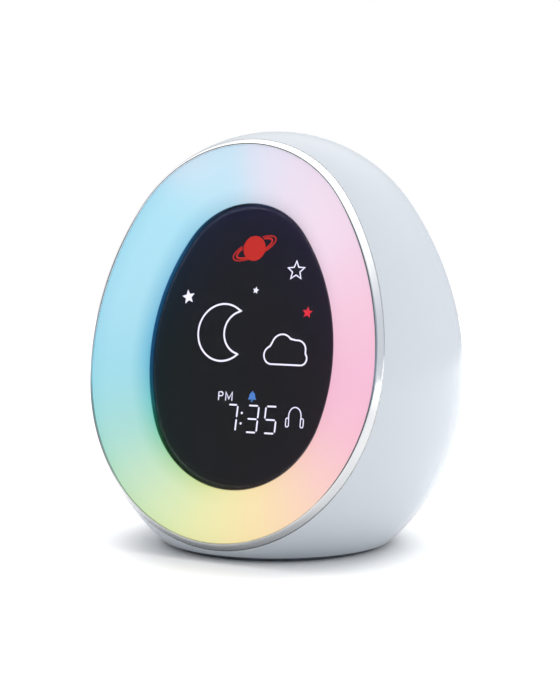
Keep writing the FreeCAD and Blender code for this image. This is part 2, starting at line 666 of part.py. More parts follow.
def egg_point(sizes, a):
    """Where a ray at angle a from the outline's widest height meets it."""
    W, M, U, TR, DN, BR = sizes
    h, r = (U, TR) if math.sin(a) >= 0 else (DN, BR)
    rs = (W * W + (h - r) ** 2 - r ** 2) / (2 * (W - r))
    lo, hi = 0.0, 200.0
    cx, cy = abs(math.cos(a)), abs(math.sin(a))
    join = math.atan2(h - r, rs - W)
    for _ in range(50):
        m = (lo + hi) / 2
        x, y = m * cx, m * cy
        inside = (x * x + (y - (h - r)) ** 2 < r * r) if math.atan2(y, x - (W - rs)) > join else ((x - (W - rs)) ** 2 + y * y < rs * rs)
        lo, hi = (m, hi) if inside else (lo, m)
    return lo * math.cos(a), M + lo * math.sin(a)


track = [egg_point(mid_sizes, math.pi / 2 + 2 * math.pi * i / 720) for i in range(720)]
lengths = [0.0]
for i in range(720):
    a, b = track[i], track[(i + 1) % 720]
    lengths.append(lengths[-1] + math.hypot(b[0] - a[0], b[1] - a[1]))


def on_track(share):
    """Point and direction at this share of the line's length."""
    want = (share % 1.0) * lengths[-1]
    i = max(j for j in range(720) if lengths[j] <= want)
    a, b = track[i], track[(i + 1) % 720]
    k = (want - lengths[i]) / (lengths[i + 1] - lengths[i])
    return a[0] + (b[0] - a[0]) * k, a[1] + (b[1] - a[1]) * k, math.degrees(math.atan2(b[1] - a[1], b[0] - a[0]))



tray = new_body("front_frame", FRONT)
s = sketch(tray, D["plate_n"] - D["plate_t"])
egg_outline(s, egg_sizes("mouth", -3.2))
pad(tray, s, D["plate_t"] - D["plate_n"])
s = sketch(tray, 0)
egg_outline(s, egg_sizes("mouth", -5.2))
pocket(tray, s, -D["plate_n"])
s = sketch(tray, D["plate_n"])
egg_outline(s, egg_sizes("win", 1.7))
pad(tray, s, MASK_TOP - D["plate_n"])
s = sketch(tray, D["plate_n"] - D["plate_t"])
for tag, px, py in posts:
    for sx in (-1, 1):
        circle(s, sx * px, py, D["post_r"])
pad(tray, s, D["plate_n"] - D["plate_t"] - D["post_n"], back=True)
s = sketch(tray, D["plate_n"] - D["plate_t"])
for x, y in SPOTS:
    circle(s, x, y, 2.6)
pad(tray, s, D["plate_n"] - D["plate_t"] - BOARD_TOP, back=True)
RING_SPOTS = [(round(on_track(k / 4)[0], 3), round(on_track(k / 4)[1], 3)) for k in range(4)]     # between two lamps
s = sketch(tray, D["plate_n"] - D["plate_t"])
for x, y in RING_SPOTS:
    circle(s, x, y, 2.6)
pad(tray, s, 3.0, back=True)
s = sketch(tray, 0)
egg_outline(s, egg_sizes("win", 0.2))
pocket(tray, s, 30)
s = sketch(tray, D["post_n"])
for tag, px, py in posts:
    for sx in (-1, 1):
        circle(s, sx * px, py, D["pilot_r"])
pocket(tray, s, 12, outward=True)
s = sketch(tray, BOARD_TOP)
for x, y in SPOTS:
    circle(s, x, y, D["pilot_r"])
pocket(tray, s, 3.6, outward=True)
s = sketch(tray, D["plate_n"])
for x, y in RING_SPOTS:
    circle(s, x, y, D["pilot_r"])
pocket(tray, s, 4.4)
keep(tray)

ring_board = new_body("ring_led_board", FRONT)
s = sketch(ring_board, D["plate_n"])
egg_outline(s, egg_sizes("mouth", -5.7))
egg_outline(s, egg_sizes("win", 2.1))
pad(ring_board, s, D["pcb_t"])
s = sketch(ring_board, D["plate_n"] + D["pcb_t"])
for x, y in RING_SPOTS:
    circle(s, x, y, D["pilot_r"] + 0.2)
pocket(ring_board, s, 3)
keep(ring_board)

# 24 lamps, evenly spaced along that line
lamps = []
for k in range(24):
    x, y, t = on_track((k + 0.5) / 24)
    lamp = Part.makeBox(5.0, 5.0, 1.6, V(-2.5, -2.5, 0))
    lens = Part.makeCylinder(1.9, 0.3, V(0, 0, 1.35))
    lamp = lamp.cut(lens)
    lamp.Placement = FreeCAD.Placement(V(x, y, d["plate_n"] + d["pcb_t"]), FreeCAD.Rotation(V(0, 0, 1), t))
    lamps.append(lamp)
keep(group("ring_leds", lamps, FRONT))

# ------------------------------------------------------------------ loudspeaker

G = 2.0     # gasket
keep(prism("dust_cloth", SPEAKER, -0.25, 0, lambda s: circle(s, 0, 0, D["spk_in"] - 0.1)))
gasket = prism("speaker_gasket", SPEAKER, -G, 0, lambda s: (circle(s, 0, 0, D["spk_r"]), circle(s, 0, 0, D["spk_in"])))
s = sketch(gasket, 0)
for i in range(4):
    a = math.pi / 4 + i * math.pi / 2
    circle(s, D["spk_bolt"] * round(math.cos(a), 6), D["spk_bolt"] * round(math.sin(a), 6), D["pilot_r"] + 0.3)
pocket(gasket, s, 5)
keep(gasket)
basket = turned("speaker_basket", SPEAKER, [
    (19.6, -2.0), (D["spk_r"], -2.0), (D["spk_r"], -3.2), (20.9, -3.2), (14.6, -11.4), (14.6, -12.6),
    (7.2, -12.6), (7.2, -11.4), (13.4, -11.4), (19.6, -3.4)])
s = sketch(basket, 0)
for i in range(4):
    a = math.pi / 4 + i * math.pi / 2
    circle(s, D["spk_bolt"] * round(math.cos(a), 6), D["spk_bolt"] * round(math.sin(a), 6), D["pilot_r"] + 0.2)
pocket(basket, s, 8)
# slots in the basket's cone
s = sketch(basket, 0)
pill(s, 0, 17.0, 3.5, 1.3)
slot = pocket(basket, s, 11.2)
rows = basket.newObject("PartDesign::PolarPattern", "basket_slots")
rows.Originals = [slot]
rows.Axis = (s, ["N_Axis"])
rows.Angle = 360
rows.Occurrences = 6
basket.Tip = rows
keep(basket)
keep(turned("speaker_magnet", SPEAKER, [(7.4, -12.6), (15.6, -12.6), (16.0, -13.0), (16.0, -19.2), (15.6, -19.6), (7.4, -19.6)]))
keep(turned("speaker_yoke", SPEAKER, [(0, -11.6), (5.5, -11.6), (5.5, -19.6), (15.0, -19.6), (15.0, -21.4), (14.2, -22.2), (0, -22.2)]))
keep(turned("speaker_surround", SPEAKER, [
    (15.95, -3.2), (15.95, -2.6), (16.7, -1.6), (17.8, -1.1), (18.9, -1.5), (19.4, -1.6), (20.7, -1.6),
    (20.7, -2.0), (19.3, -2.0), (17.8, -1.6), (17.0, -2.1), (16.6, -3.2)]))
cone = keep(turned("speaker_cone", SPEAKER, [
    (0, -6.3), (3.6, -6.8), (6.6, -8.2), (15.6, -2.9), (15.6, -3.6), (6.9, -9.2), (6.0, -9.2), (6.0, -8.7), (3.4, -7.5), (0, -7.0)]))
keep(turned("voice_coil", SPEAKER, [(5.95, -9.2), (6.7, -9.2), (6.7, -17.0), (5.95, -17.0)]))

# ------------------------------------------------------------------ control panel and buttons

fused = fuse("form_panel_body", [
    cut("form_panel_plug_b", common("form_panel_plug", prism("form_panel_prism", PANEL, -25, 6,
        lambda s: pill(s, 0, 0, D["panel_a"], D["panel_r"])), egg_panel), egg_flange_in),
    cut("form_panel_flange_b", common("form_panel_flange", prism("form_panel_wide", PANEL, -25, 6,
        lambda s: pill(s, 0, 0, D["panel_a"] + 1.6, D["panel_r"] + 0.6)), egg_flange_out), egg_flange_in),
    common("form_panel_posts", fuse("form_panel_post_pair", [
        prism("form_panel_post_l", PANEL, D["key_board"], 0, lambda s: circle(s, -28.6, 0, 2.3)),
        prism("form_panel_post_r", PANEL, D["key_board"], 0, lambda s: circle(s, 28.6, 0, 2.3))]), egg_flange_out)])
KEYS = [("button_time", -1, -1), ("button_alarm", 0, -1), ("button_light", 1, -1),
        ("button_volume_down", -1, 1), ("button_play", 0, 1), ("button_volume_up", 1, 1)]
holes = []
for name, cx, cy in KEYS:
    holes.append(prism("form_hole_" + name, PANEL, -25, 6,
                       lambda s, cx=cx, cy=cy: pill(s, cx * D["key_x"], cy * D["key_y"], D["key_a"], D["key_r"] + D["key_gap"])))
for i, sx in enumerate((-1, 1)):
    holes.append(prism("form_panel_pilot_%d" % i, PANEL, D["key_board"] - 1, D["key_board"] + 4.4,
                       lambda s, sx=sx: circle(s, sx * 28.6, 0, D["pilot_r"])))
keep(cut("control_panel", fused, fuse("form_panel_holes", holes)))
for name, cx, cy in KEYS:
    cap = common("form_cap_" + name, prism("form_stem_" + name, PANEL, D["key_flange"] - 0.5, 6,
                 lambda s, cx=cx, cy=cy: pill(s, cx * D["key_x"], cy * D["key_y"], D["key_a"], D["key_r"])), egg_key)
    flange = prism("form_foot_" + name, PANEL, D["key_flange"] - 1.0, D["key_flange"],
                   lambda s, cx=cx, cy=cy: pill(s, cx * D["key_x"], cy * D["key_y"], D["key_a"] + 0.5, D["key_r"] + 0.6))
    stem = prism("form_pip_" + name, PANEL, D["key_flange"] - 2.6, D["key_flange"] - 0.9,
                 lambda s, cx=cx, cy=cy: circle(s, cx * D["key_x"], cy * D["key_y"], 1.7))
    keep(fuse(name, [cap, flange, stem]))
kb = prism("key_board", PANEL, D["key_board"] - D["pcb_t"], D["key_board"],
           lambda s: soft_rect(s, 0, 0, 31.2, 10.4, 1.5))
s = sketch(kb, D["key_board"])
for sx in (-1, 1):
    circle(s, sx * 28.6, 0, D["pilot_r"] + 0.2)
pocket(kb, s, 3)
keep(kb)
switches = []
for name, cx, cy in KEYS:
    x, y, z = cx * d["key_x"], cy * d["key_y"], d["key_board"]
    switches.append(block(x, y, z, 6.0, 6.0, 1.5).fuse(Part.makeCylinder(1.6, 1.95, V(x, y, z))).removeSplitter())
keep(group("tact_switches", switches, PANEL))

# ------------------------------------------------------------------ socket cup in the low back

cup = fuse("form_cup_body", [
    common("form_cup_a", prism("form_cup_prism", PORTS, -2, 20, lambda s: soft_rect(s, 0, 0, D["port_w"], D["port_h"], D["port_corner"])), egg_panel),
    cut("form_cup_b", common("form_cup_c", prism("form_cup_wide", PORTS, -2, 20,
        lambda s: soft_rect(s, 0, 0, D["port_w"] + 2, D["port_h"] + 2, D["port_corner"] + 2)), egg_flange_out), egg_flange_in)])
cup_holes = [
    prism("form_cup_room", PORTS, 0, 20, lambda s: soft_rect(s, 0, 0, D["port_w"] - D["port_wall"], D["port_h"] - D["port_wall"], D["port_corner"] - D["port_wall"])),
    prism("form_cup_usb", PORTS, -5, 3, lambda s: pill(s, -12.0, 1.3, 3.0, 1.85)),
    prism("form_cup_aux", PORTS, -5, 3, lambda s: circle(s, 0, 0.3, 3.15)),
    prism("form_cup_slot", PORTS, -5, 3, lambda s: soft_rect(s, D["knob_x"], 0.5, D["knob_travel"] / 2 + 1.3, 1.3, 0.5))]
keep(cut("port_panel", cup, fuse("form_cup_holes", cup_holes)))

usb = prism("usb_socket", PORTS, -7.4, -0.1, lambda s: pill(s, -12.0, 1.3, 2.9, 1.6))
s = sketch(usb, -0.1)
pill(s, -12.0, 1.3, 2.9, 1.28)
pocket(usb, s, 6.6)
keep(usb)
keep(prism("usb_tongue", PORTS, -6.7, -0.9, lambda s: rect(s, -12.0, 1.3, 3.3, 0.35)))
aux = prism("aux_socket", PORTS, -12.0, -2.05, lambda s: rect(s, 0, 0.3, 3.3, 2.6))
s = sketch(aux, -2.05)
circle(s, 0, 0.3, 3.0)
pad(aux, s, 2.55)
s = sketch(aux, 0.5)
circle(s, 0, 0.3, D["plug_r"])
pocket(aux, s, 12.0)
keep(aux)
body = prism("power_switch_body", PORTS, -6.0, -2.05, lambda s: rect(s, D["knob_x"], 0.5, 4.6, 2.4))
s = sketch(body, -2.05)
rect(s, D["knob_x"], 0.5, D["knob_travel"] / 2 + 1.35, 1.1)
pocket(body, s, 3.0)
keep(body)
knob = new_body("power_switch_knob", PORTS)
s = sketch(knob, -4.6)
rect(s, D["knob_x"] - D["knob_travel"] / 2, 0.5, 0.95, 0.85)
pad(knob, s, 6.2)
keep(knob)

# ------------------------------------------------------------------ main board, battery, base

mb = prism("main_board", WORLD, D["board_z"], D["board_z"] + D["pcb_t"],
           lambda s: poly(s, [(-D["board_w"], D["board_y0"]), (D["board_w"], D["board_y0"]),
                              (D["board_w"], D["board_y1"]), (-D["board_w"], D["board_y1"])]))
BOARD_HOLES = [(-22.5, -7.0), (22.5, -7.0), (-22.5, 34.0), (22.5, 34.0)]
s = sketch(mb, D["board_z"] + D["pcb_t"])
for x, y in BOARD_HOLES:
    circle(s, x, y, D["pilot_r"] + 0.2)
pocket(mb, s, 4)
keep(mb)
zt = d["board_z"] + d["pcb_t"]
keep(group("board_chips", [
    block(4.0, 12.0, zt, 10.0, 10.0, 1.2), block(-12.0, 26.0, zt, 5.0, 6.2, 1.6), block(12.0, 30.0, zt, 7.5, 5.3, 1.8),
    block(-14.0, 8.0, zt, 4.0, 5.0, 1.1), block(19.0, 18.0, zt, 7.0, 7.0, 4.2), block(-20.0, 16.0, zt, 3.2, 1.6, 1.0),
    block(10.0, 0.0, zt, 11.0, 4.6, 3.6), block(-4.0, 34.0, zt, 4.3, 7.3, 2.9),
    Part.makeCylinder(3.15, 7.0, V(20.0, 28.5, zt)), Part.makeCylinder(3.15, 7.0, V(-21.0, 28.0, zt)),
    Part.makeCylinder(2.5, 5.4, V(3.0, 27.0, zt))]))
keep(group("radio_module", [block(-12.0, -4.5, zt, 15.0, 12.0, 0.8).fuse(block(-10.5, -4.5, zt + 0.8, 10.5, 9.6, 1.6)).removeSplitter()]))

bz = D["floor_z"] + D["base_t"]
base = prism("base_plate", WORLD, D["floor_z"], bz, lambda s: circle(s, 0, 0, D["base_r"]))
s = sketch(base, bz)
for x, y in BOARD_HOLES:
    circle(s, x, y, 3.0)
pad(base, s, D["board_z"] - bz)
s = sketch(base, D["board_z"])
for x, y in BOARD_HOLES:
    circle(s, x, y, D["pilot_r"])
pocket(base, s, 8)
s = sketch(base, bz)
for sx, sy in ((1, 1), (-1, 1), (-1, -1), (1, -1)):
    circle(s, sx * D["lug"], sy * D["lug"], D["pilot_r"] + 0.3)
pocket(base, s, 5)
s = sketch(base, D["floor_z"])
for sx, sy in ((1, 1), (-1, 1), (-1, -1), (1, -1)):
    circle(s, sx * D["lug"], sy * D["lug"], 3.0)
pocket(base, s, 1.0, outward=True)
keep(base)
pad_body = turned("base_pad", WORLD, [(0, 0), (D["pad_r"] - 0.5, 0), (D["pad_r"], 0.5), (D["pad_r"], D["floor_z"]), (0, D["floor_z"])])
keep(pad_body)

# the battery lies across the base in a U-shaped cradle
CELL = ((-D["cell_l"] / 2, D["cell_y"], bz + 0.9 + D["cell_r"]), 0)
cell_z = bz + 0.9 + D["cell_r"]
batt = new_body("battery_pack")
s = sketch(batt, -D["cell_l"] / 2, "YZ_Plane")
circle(s, D["cell_y"], cell_z, D["cell_r"])
pad(batt, s, D["cell_l"])
keep(batt)
cradle = new_body("battery_cradle")
s = sketch(cradle, -(D["cell_l"] / 2 + 2.0), "YZ_Plane")
rect(s, D["cell_y"], bz + 5.0, D["cell_r"] + 1.4, 5.0)
pad(cradle, s, D["cell_l"] + 4.0)
s = sketch(cradle, -(D["cell_l"] / 2 + 0.2), "YZ_Plane")
circle(s, D["cell_y"], cell_z, D["cell_r"] + 0.1)
# cut along +X from the first end wall to the other
pocket(cradle, s, D["cell_l"] + 0.4, outward=True)
keep(cradle)


def strip(name, points, x, half):
    """A flat cable: a bent strip seen from the side as points (y, z), half as wide as half each side of x."""
    b = new_body(name)
    s = sketch(b, dim(x) - half, "YZ_Plane")
    poly(s, points)
    pad(b, s, 2 * dim(half))
    return b


def ribbon_outline(path, t):
    """Both sides of a path of (y, z) points, t apart."""
    left, right = [], []
    for i, (y, z) in enumerate(path):
        ds = []
        if i > 0:
            ds.append((y - path[i - 1][0], z - path[i - 1][1]))
        if i < len(path) - 1:
            ds.append((path[i + 1][0] - y, path[i + 1][1] - z))
        ns = [(-b / math.hypot(a, b), a / math.hypot(a, b)) for a, b in ds]
        nx, nz = sum(n[0] for n in ns), sum(n[1] for n in ns)
        L = math.hypot(nx, nz)
        nx, nz = nx / L, nz / L
        k = t / 2.0 / max(0.35, nx * ns[0][0] + nz * ns[0][1])
        left.append((y + nx * k, z + nz * k))
        right.append((y - nx * k, z - nz * k))
    return left + right[::-1]


# flat cable from the main board up to the back of the display board
ft, fz = math.radians(d["tilt"]), d["belly_z"]
bn = BOARD_TOP.value - d["pcb_t"]


def front_point(v, n):
    return (-d["front_set"] + v * math.sin(ft) - n * math.cos(ft), fz + v * math.cos(ft) + n * math.sin(ft))


y1, z1 = front_point(-30.0, bn - 0.25)
y0, z0 = front_point(-24.0, bn - 0.25)
keep(strip("display_ribbon", ribbon_outline([(y0, z0), (y1, z1), (y1 + 1.2, z1 - 2.6), (-14.5, 28.6), (-11.5, 25.85), (-5.0, 25.85)], 0.4), 8.0, 6.5))
# flat cable from the key board down to the main board, past the loudspeaker's back
pt_ = math.radians(d["panel_tilt"])


def panel_point(v, n):
    """Local height v up the panel and n out of it, as (y, z)."""
    return (d["panel_y"] - v * math.sin(pt_) + n * math.cos(pt_), d["panel_z"] + v * math.cos(pt_) + n * math.sin(pt_))


kn = d["key_board"] - d["pcb_t"] - 0.25
a, b = panel_point(1.0, kn), panel_point(-6.0, kn)
keep(strip("key_ribbon", ribbon_outline([a, b, (b[0] - 2.2, b[1] - 3.0), (39.0, 96.0), (38.0, 44.0), (40.5, 27.6), (43.5, 25.85), (47.0, 25.85)], 0.4), 7.5, 4.0))


def wire(name, pairs, r):
    """Loose leads: tubes along straight runs joined by tangent arcs."""
    solids = []
    for pts, turn in pairs:
        edges = []
        last = V(*pts[0])
        for i in range(1, len(pts) - 1):
            p, a, b = V(*pts[i]), V(*pts[i - 1]), V(*pts[i + 1])
            u, w = (a - p), (b - p)
            u.normalize()
            w.normalize()
            half = u.getAngle(w) / 2
            k = turn / math.tan(half)
            t0, t1 = p + u * k, p + w * k
            bis = (u + w)
            bis.normalize()
            mid = p + bis * (turn / math.sin(half) - turn)
            edges += [Part.LineSegment(last, t0).toShape(), Part.Arc(t0, mid, t1).toShape()]
            last = t1
        edges.append(Part.LineSegment(last, V(*pts[-1])).toShape())
        path = Part.Wire(edges)
        start = (V(*pts[1]) - V(*pts[0]))
        ring_ = Part.Wire([Part.makeCircle(r, V(*pts[0]), start)])
        solids.append(path.makePipeShell([ring_], True, False))
    return group(name, solids)


keep(wire("speaker_leads", [
    ([(-22.3 - 2.2 * k, 62.7, 74.0 - 1.5 * k), (-22.3 - 2.2 * k, 51.5, 73.0 - 1.5 * k), (-21.8 - 2.2 * k, 48.0, 50.0), (-17.5 - 2.2 * k, 46.5, 36.0), (-17.5 - 2.2 * k, 46.5, 25.7)], 3.0) for k in (0, 1)], 0.7))
keep(wire("battery_leads", [
    ([(-35.2, 10.0 + 2.4 * k, 17.5), (-38.5, 10.0 + 2.4 * k, 17.5), (-38.5, 10.0 + 2.4 * k, 30.5), (-22.5, 10.0 + 2.4 * k, 30.5), (-22.5, 10.0 + 2.4 * k, 25.7)], 1.4) for k in (0, 1)], 0.7))

# ------------------------------------------------------------------ fasteners


def screw(head_r, head_t, shank_r, length, countersunk=False):
    """Head on z = 0..head_t, shank down to -length, cross recess in the head."""
    if countersunk:
        pts = [V(0, 0, -length), V(shank_r, 0, -length + 0.8), V(shank_r, 0, -1.2), V(head_r, 0, 0), V(0, 0, 0)]
        top_z = 0.0
    else:
        pts = [V(0, 0, -length), V(shank_r, 0, -length + 0.8), V(shank_r, 0, 0), V(head_r, 0, 0), V(head_r, 0, head_t * 0.55), V(head_r * 0.72, 0, head_t), V(0, 0, head_t)]
        top_z = head_t
    solid = Part.Face(Part.makePolygon(pts + [pts[0]])).revolve(V(0, 0, 0), V(0, 0, 1), 360)
    k = head_r * 0.5
    cross = Part.makeBox(2 * k, 0.5, 1.0, V(-k, -0.25, top_z - 0.8)).fuse(Part.makeBox(0.5, 2 * k, 1.0, V(-0.25, -k, top_z - 0.8)))
    return solid.cut(cross)


def at(shape, frame, x, y, z, flip=False):
    """Stand a screw at a place of a frame; flip turns its head to local -z."""
    s_ = shape.copy()
    p = FreeCAD.Placement(V(x, y, z), FreeCAD.Rotation(V(1, 0, 0), 180 if flip else 0))
    s_.Placement = placement(frame).multiply(p)
    return s_


pr = d["pilot_r"] - 0.02
case = screw(2.8, d["head_t"], pr, 12.0)
keep(group("case_screws", [at(case, FRONT, sx * px.value, py.value, d["post_n"] - 2.1, flip=True) for _, px, py in posts for sx in (-1, 1)]))
small = screw(2.3, 1.6, pr, 5.0)
board_screws = [at(small, FRONT, x, y, BOARD_TOP.value - d["pcb_t"], flip=True) for x, y in SPOTS]
board_screws += [at(small, FRONT, x, y, d["plate_n"] + d["pcb_t"]) for x, y in RING_SPOTS]
board_screws += [at(small, WORLD, x, y, d["board_z"] + d["pcb_t"]) for x, y in BOARD_HOLES]
board_screws += [at(small, PANEL, sx * 28.6, 0, d["key_board"] - d["pcb_t"], flip=True) for sx in (-1, 1)]
keep(group("board_screws", board_screws))
big = screw(2.6, 1.8, pr, 6.2)
keep(group("speaker_screws", [at(big, SPEAKER, d["spk_bolt"] * math.cos(math.pi / 4 + i * math.pi / 2),
                                  d["spk_bolt"] * math.sin(math.pi / 4 + i * math.pi / 2), -3.2, flip=True) for i in range(4)]))
keep(group("base_screws", [at(screw(2.7, 0.95, pr, 9.0), WORLD, sx * d["lug"], sy * d["lug"], d["floor_z"] + 1.0, flip=True)
                            for sx in (-1, 1) for sy in (-1, 1)]))

# ------------------------------------------------------------------ check and write

doc.recompute()
bad = [(o.Name, o.State) for o in doc.Objects if "Invalid" in o.State or "Error" in o.State]
if bad:
    raise SystemExit("not built: %s" % bad)
for o in doc.Objects:
    if o.TypeId in ("PartDesign::Pocket", "PartDesign::SubtractiveLoft") and o.BaseFeature is not None:
        if o.Shape.Volume > o.BaseFeature.Shape.Volume - 1e-4:
            raise SystemExit("cuts nothing: " + o.Name)
os.makedirs("parts", exist_ok=True)
names = [o.Label for o in PIECES]
assert len(set(names)) == len(names)
for o in PIECES:
    if o.Shape.isNull() or not o.Shape.isValid() or not o.Shape.Solids:
        raise SystemExit("bad shape: " + o.Label)
for o in PIECES:
    o.Shape.exportStep("parts/%s.step" % o.Label)
    b = o.Shape.BoundBox
    print("%-22s solids %2d  vol %9.1f  x %6.1f %6.1f  y %6.1f %6.1f  z %6.1f %6.1f" % (
        o.Label, len(o.Shape.Solids), o.Shape.Volume, b.XMin, b.XMax, b.YMin, b.YMax, b.ZMin, b.ZMax))
print(len(PIECES), "pieces")
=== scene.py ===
import math
import bpy
import bmesh
import numpy as np
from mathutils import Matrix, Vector


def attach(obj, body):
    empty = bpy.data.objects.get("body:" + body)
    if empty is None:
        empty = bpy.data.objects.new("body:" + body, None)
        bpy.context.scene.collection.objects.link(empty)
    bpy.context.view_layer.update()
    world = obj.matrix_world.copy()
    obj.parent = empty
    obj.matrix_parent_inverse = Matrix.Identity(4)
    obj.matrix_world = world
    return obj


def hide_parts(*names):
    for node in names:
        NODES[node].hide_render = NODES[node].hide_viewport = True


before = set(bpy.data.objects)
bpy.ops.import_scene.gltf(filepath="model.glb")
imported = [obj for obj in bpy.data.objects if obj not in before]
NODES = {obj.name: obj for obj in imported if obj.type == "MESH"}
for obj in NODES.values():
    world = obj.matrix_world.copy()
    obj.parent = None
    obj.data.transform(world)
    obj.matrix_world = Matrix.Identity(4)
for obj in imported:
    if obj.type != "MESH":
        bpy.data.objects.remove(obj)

bpy.context.view_layer.update()
scene = bpy.context.scene
MM = 0.001

# ------------------------------------------------------------------ camera

cam_data = bpy.data.cameras.new("camera")
cam_data.sensor_width, cam_data.sensor_fit, cam_data.lens = 36.0, "AUTO", 62.03
cam_data.clip_start, cam_data.clip_end = 0.01, 50.0
cam = bpy.data.objects.new("camera", cam_data)
cam.location = (0.2342, -0.4311, 0.09745)
cam.rotation_euler = (math.radians(90 - 2.36), 0.0, math.radians(28.38))
scene.collection.objects.link(cam)
scene.camera = cam

# ------------------------------------------------------------------ the clock's geometry, in millimetres

TILT = math.radians(8.6)
SIN, COS = math.sin(TILT), math.cos(TILT)
FRONT_Y, BELLY_Z, BELLY_R, CROWN_R, FOOT_R, HEIGHT = -40.5, 64.6, 75.5, 64.8, 83.7, 165.0
RISE = HEIGHT - CROWN_R - BELLY_Z
SIDE_R = (BELLY_R ** 2 + RISE ** 2 - CROWN_R ** 2) / (2 * (BELLY_R - CROWN_R))
JOIN_Z = BELLY_Z + SIDE_R * RISE / (SIDE_R - CROWN_R)

# half width, height of the widest place, up, top radius, down, bottom radius
RIM = (61.70, 8.52, 84.57, 52.24, 66.95, 58.72)
WIN = (40.55, 12.42, 59.96, 31.09, 51.10, 38.44)
MOUTH = (64.39, 8.13, 87.73, 54.99, 69.51, 61.10)
BEZEL_T, LEDGE_T, RIM_N, LENS_N, LENS_T, SKIN = 2.8, 0.9, 2.45, -6.9, 4.0, 2.2
FALL = RIM_N - LENS_N


def offset(sizes, off):
    w, m, u, tr, d, br = sizes
    return (w + off, m, u + off, tr + off, d + off, br + off)


def between(a, b, t):
    return tuple(x + (y - x) * t for x, y in zip(a, b))


def outline(sizes, fine=1.0):
    """Points (u, v) round the egg, counter-clockwise from the right, always as many for one fineness."""
    W, M, U, TR, DN, BR = sizes
    ru = (W * W + (U - TR) ** 2 - TR ** 2) / (2 * (W - TR))
    rd = (W * W + (DN - BR) ** 2 - BR ** 2) / (2 * (W - BR))
    au, ad = math.atan2(U - TR, ru - W), math.atan2(DN - BR, rd - W)
    arcs = [(W - ru, M, ru, 0, au, 36), (0, M + U - TR, TR, au, math.pi - au, 52), (ru - W, M, ru, math.pi - au, math.pi, 36),
            (rd - W, M, rd, math.pi, math.pi + ad, 26), (0, M - DN + BR, BR, math.pi + ad, 2 * math.pi - ad, 52),
            (W - rd, M, rd, -ad, 0, 26)]
    pts = []
    for x, y, r, a, b, k in arcs:
        k = max(4, int(k * fine))
        for i in range(k):
            t = a + (b - a) * i / k
            pts.append((x + r * math.cos(t), y + r * math.sin(t)))
    return pts


def front(u, v, n):
    """From the leaning front plane to the frame, in metres."""
    return Vector((u * MM, (FRONT_Y + v * SIN - n * COS) * MM, (BELLY_Z + v * COS + n * SIN) * MM))


def egg_radius(z, off=0.0):
    """Radius of the egg at height z."""
    if z <= BELLY_Z:
        r = FOOT_R + off
        return BELLY_R - FOOT_R + math.sqrt(max(0.0, r * r - (z - BELLY_Z) ** 2))
    if z <= JOIN_Z:
        r = SIDE_R + off
        return BELLY_R - SIDE_R + math.sqrt(max(0.0, r * r - (z - BELLY_Z) ** 2))
    r = CROWN_R + off
    return math.sqrt(max(0.0, r * r - (z - HEIGHT + CROWN_R) ** 2))


def egg_gap(p, off=0.0):
    """Signed distance, about, of a point in millimetres from the egg's skin moved outwards by off."""
    x, y, z = p
    r = math.hypot(x, y)
    if z <= BELLY_Z:
        return math.hypot(r - BELLY_R + FOOT_R, z - BELLY_Z) - FOOT_R - off
    if z <= JOIN_Z:
        return math.hypot(r - BELLY_R + SIDE_R, z - BELLY_Z) - SIDE_R - off
    return math.hypot(r, z - HEIGHT + CROWN_R) - CROWN_R - off


def skin_outline(n, off=0.0, centre=8.0):
    """Where the plane at height n above the front plane cuts the egg: one point for each of the outline's directions."""
    pts = []
    for mu, mv in outline(MOUTH):
        du, dv = mu, mv - centre
        k = math.hypot(du, dv)
        du, dv = du / k, dv / k
        lo, hi = k * 0.8, k * 1.15
        for _ in range(40):
            mid = (lo + hi) / 2
            p = front(du * mid, centre + dv * mid, n) / MM
            if egg_gap(p, off) > 0:
                hi = mid
            else:
                lo = mid
        pts.append((du * lo, centre + dv * lo))
    return pts


# ------------------------------------------------------------------ mesh helpers

def finished(name, bm, mat, body, replaced=(), smooth=True, weighted=False, recalc=True):
    if recalc:
        bmesh.ops.recalc_face_normals(bm, faces=bm.faces)
    me = bpy.data.meshes.new(name)
    bm.to_mesh(me)
    bm.free()
    if smooth:
        me.shade_smooth()
    o = bpy.data.objects.new(name, me)
    scene.collection.objects.link(o)
    if mat is not None:
        me.materials.append(mat)
    if weighted:
        m = o.modifiers.new("even_normals", "WEIGHTED_NORMAL")
        m.keep_sharp = True
        m.weight = 80
    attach(o, body)
    if replaced:
        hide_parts(*replaced)
    return o


def ring_mesh(rows, closed=True):
    """Rows of points in the frame, each row a closed loop; with closed, the last row joins the first."""
    bm = bmesh.new()
    grid = [[bm.verts.new(p) for p in row] for row in rows]
    n = len(grid[0])
    last = len(grid) if closed else len(grid) - 1
    for i in range(last):
        a, b = grid[i], grid[(i + 1) % len(grid)]
        for j in range(n):
            bm.faces.new((a[j], a[(j + 1) % n], b[(j + 1) % n], b[j]))
    return bm, grid


def rows_of(spec):
    """spec: (points, n) pairs, where points is an outline's sizes or a list of (u, v)."""
    rows = []
    for pts, n in spec:
        if isinstance(pts, tuple):
            pts = outline(pts)
        rows.append([front(u, v, n) for u, v in pts])
    return rows


# ------------------------------------------------------------------ materials

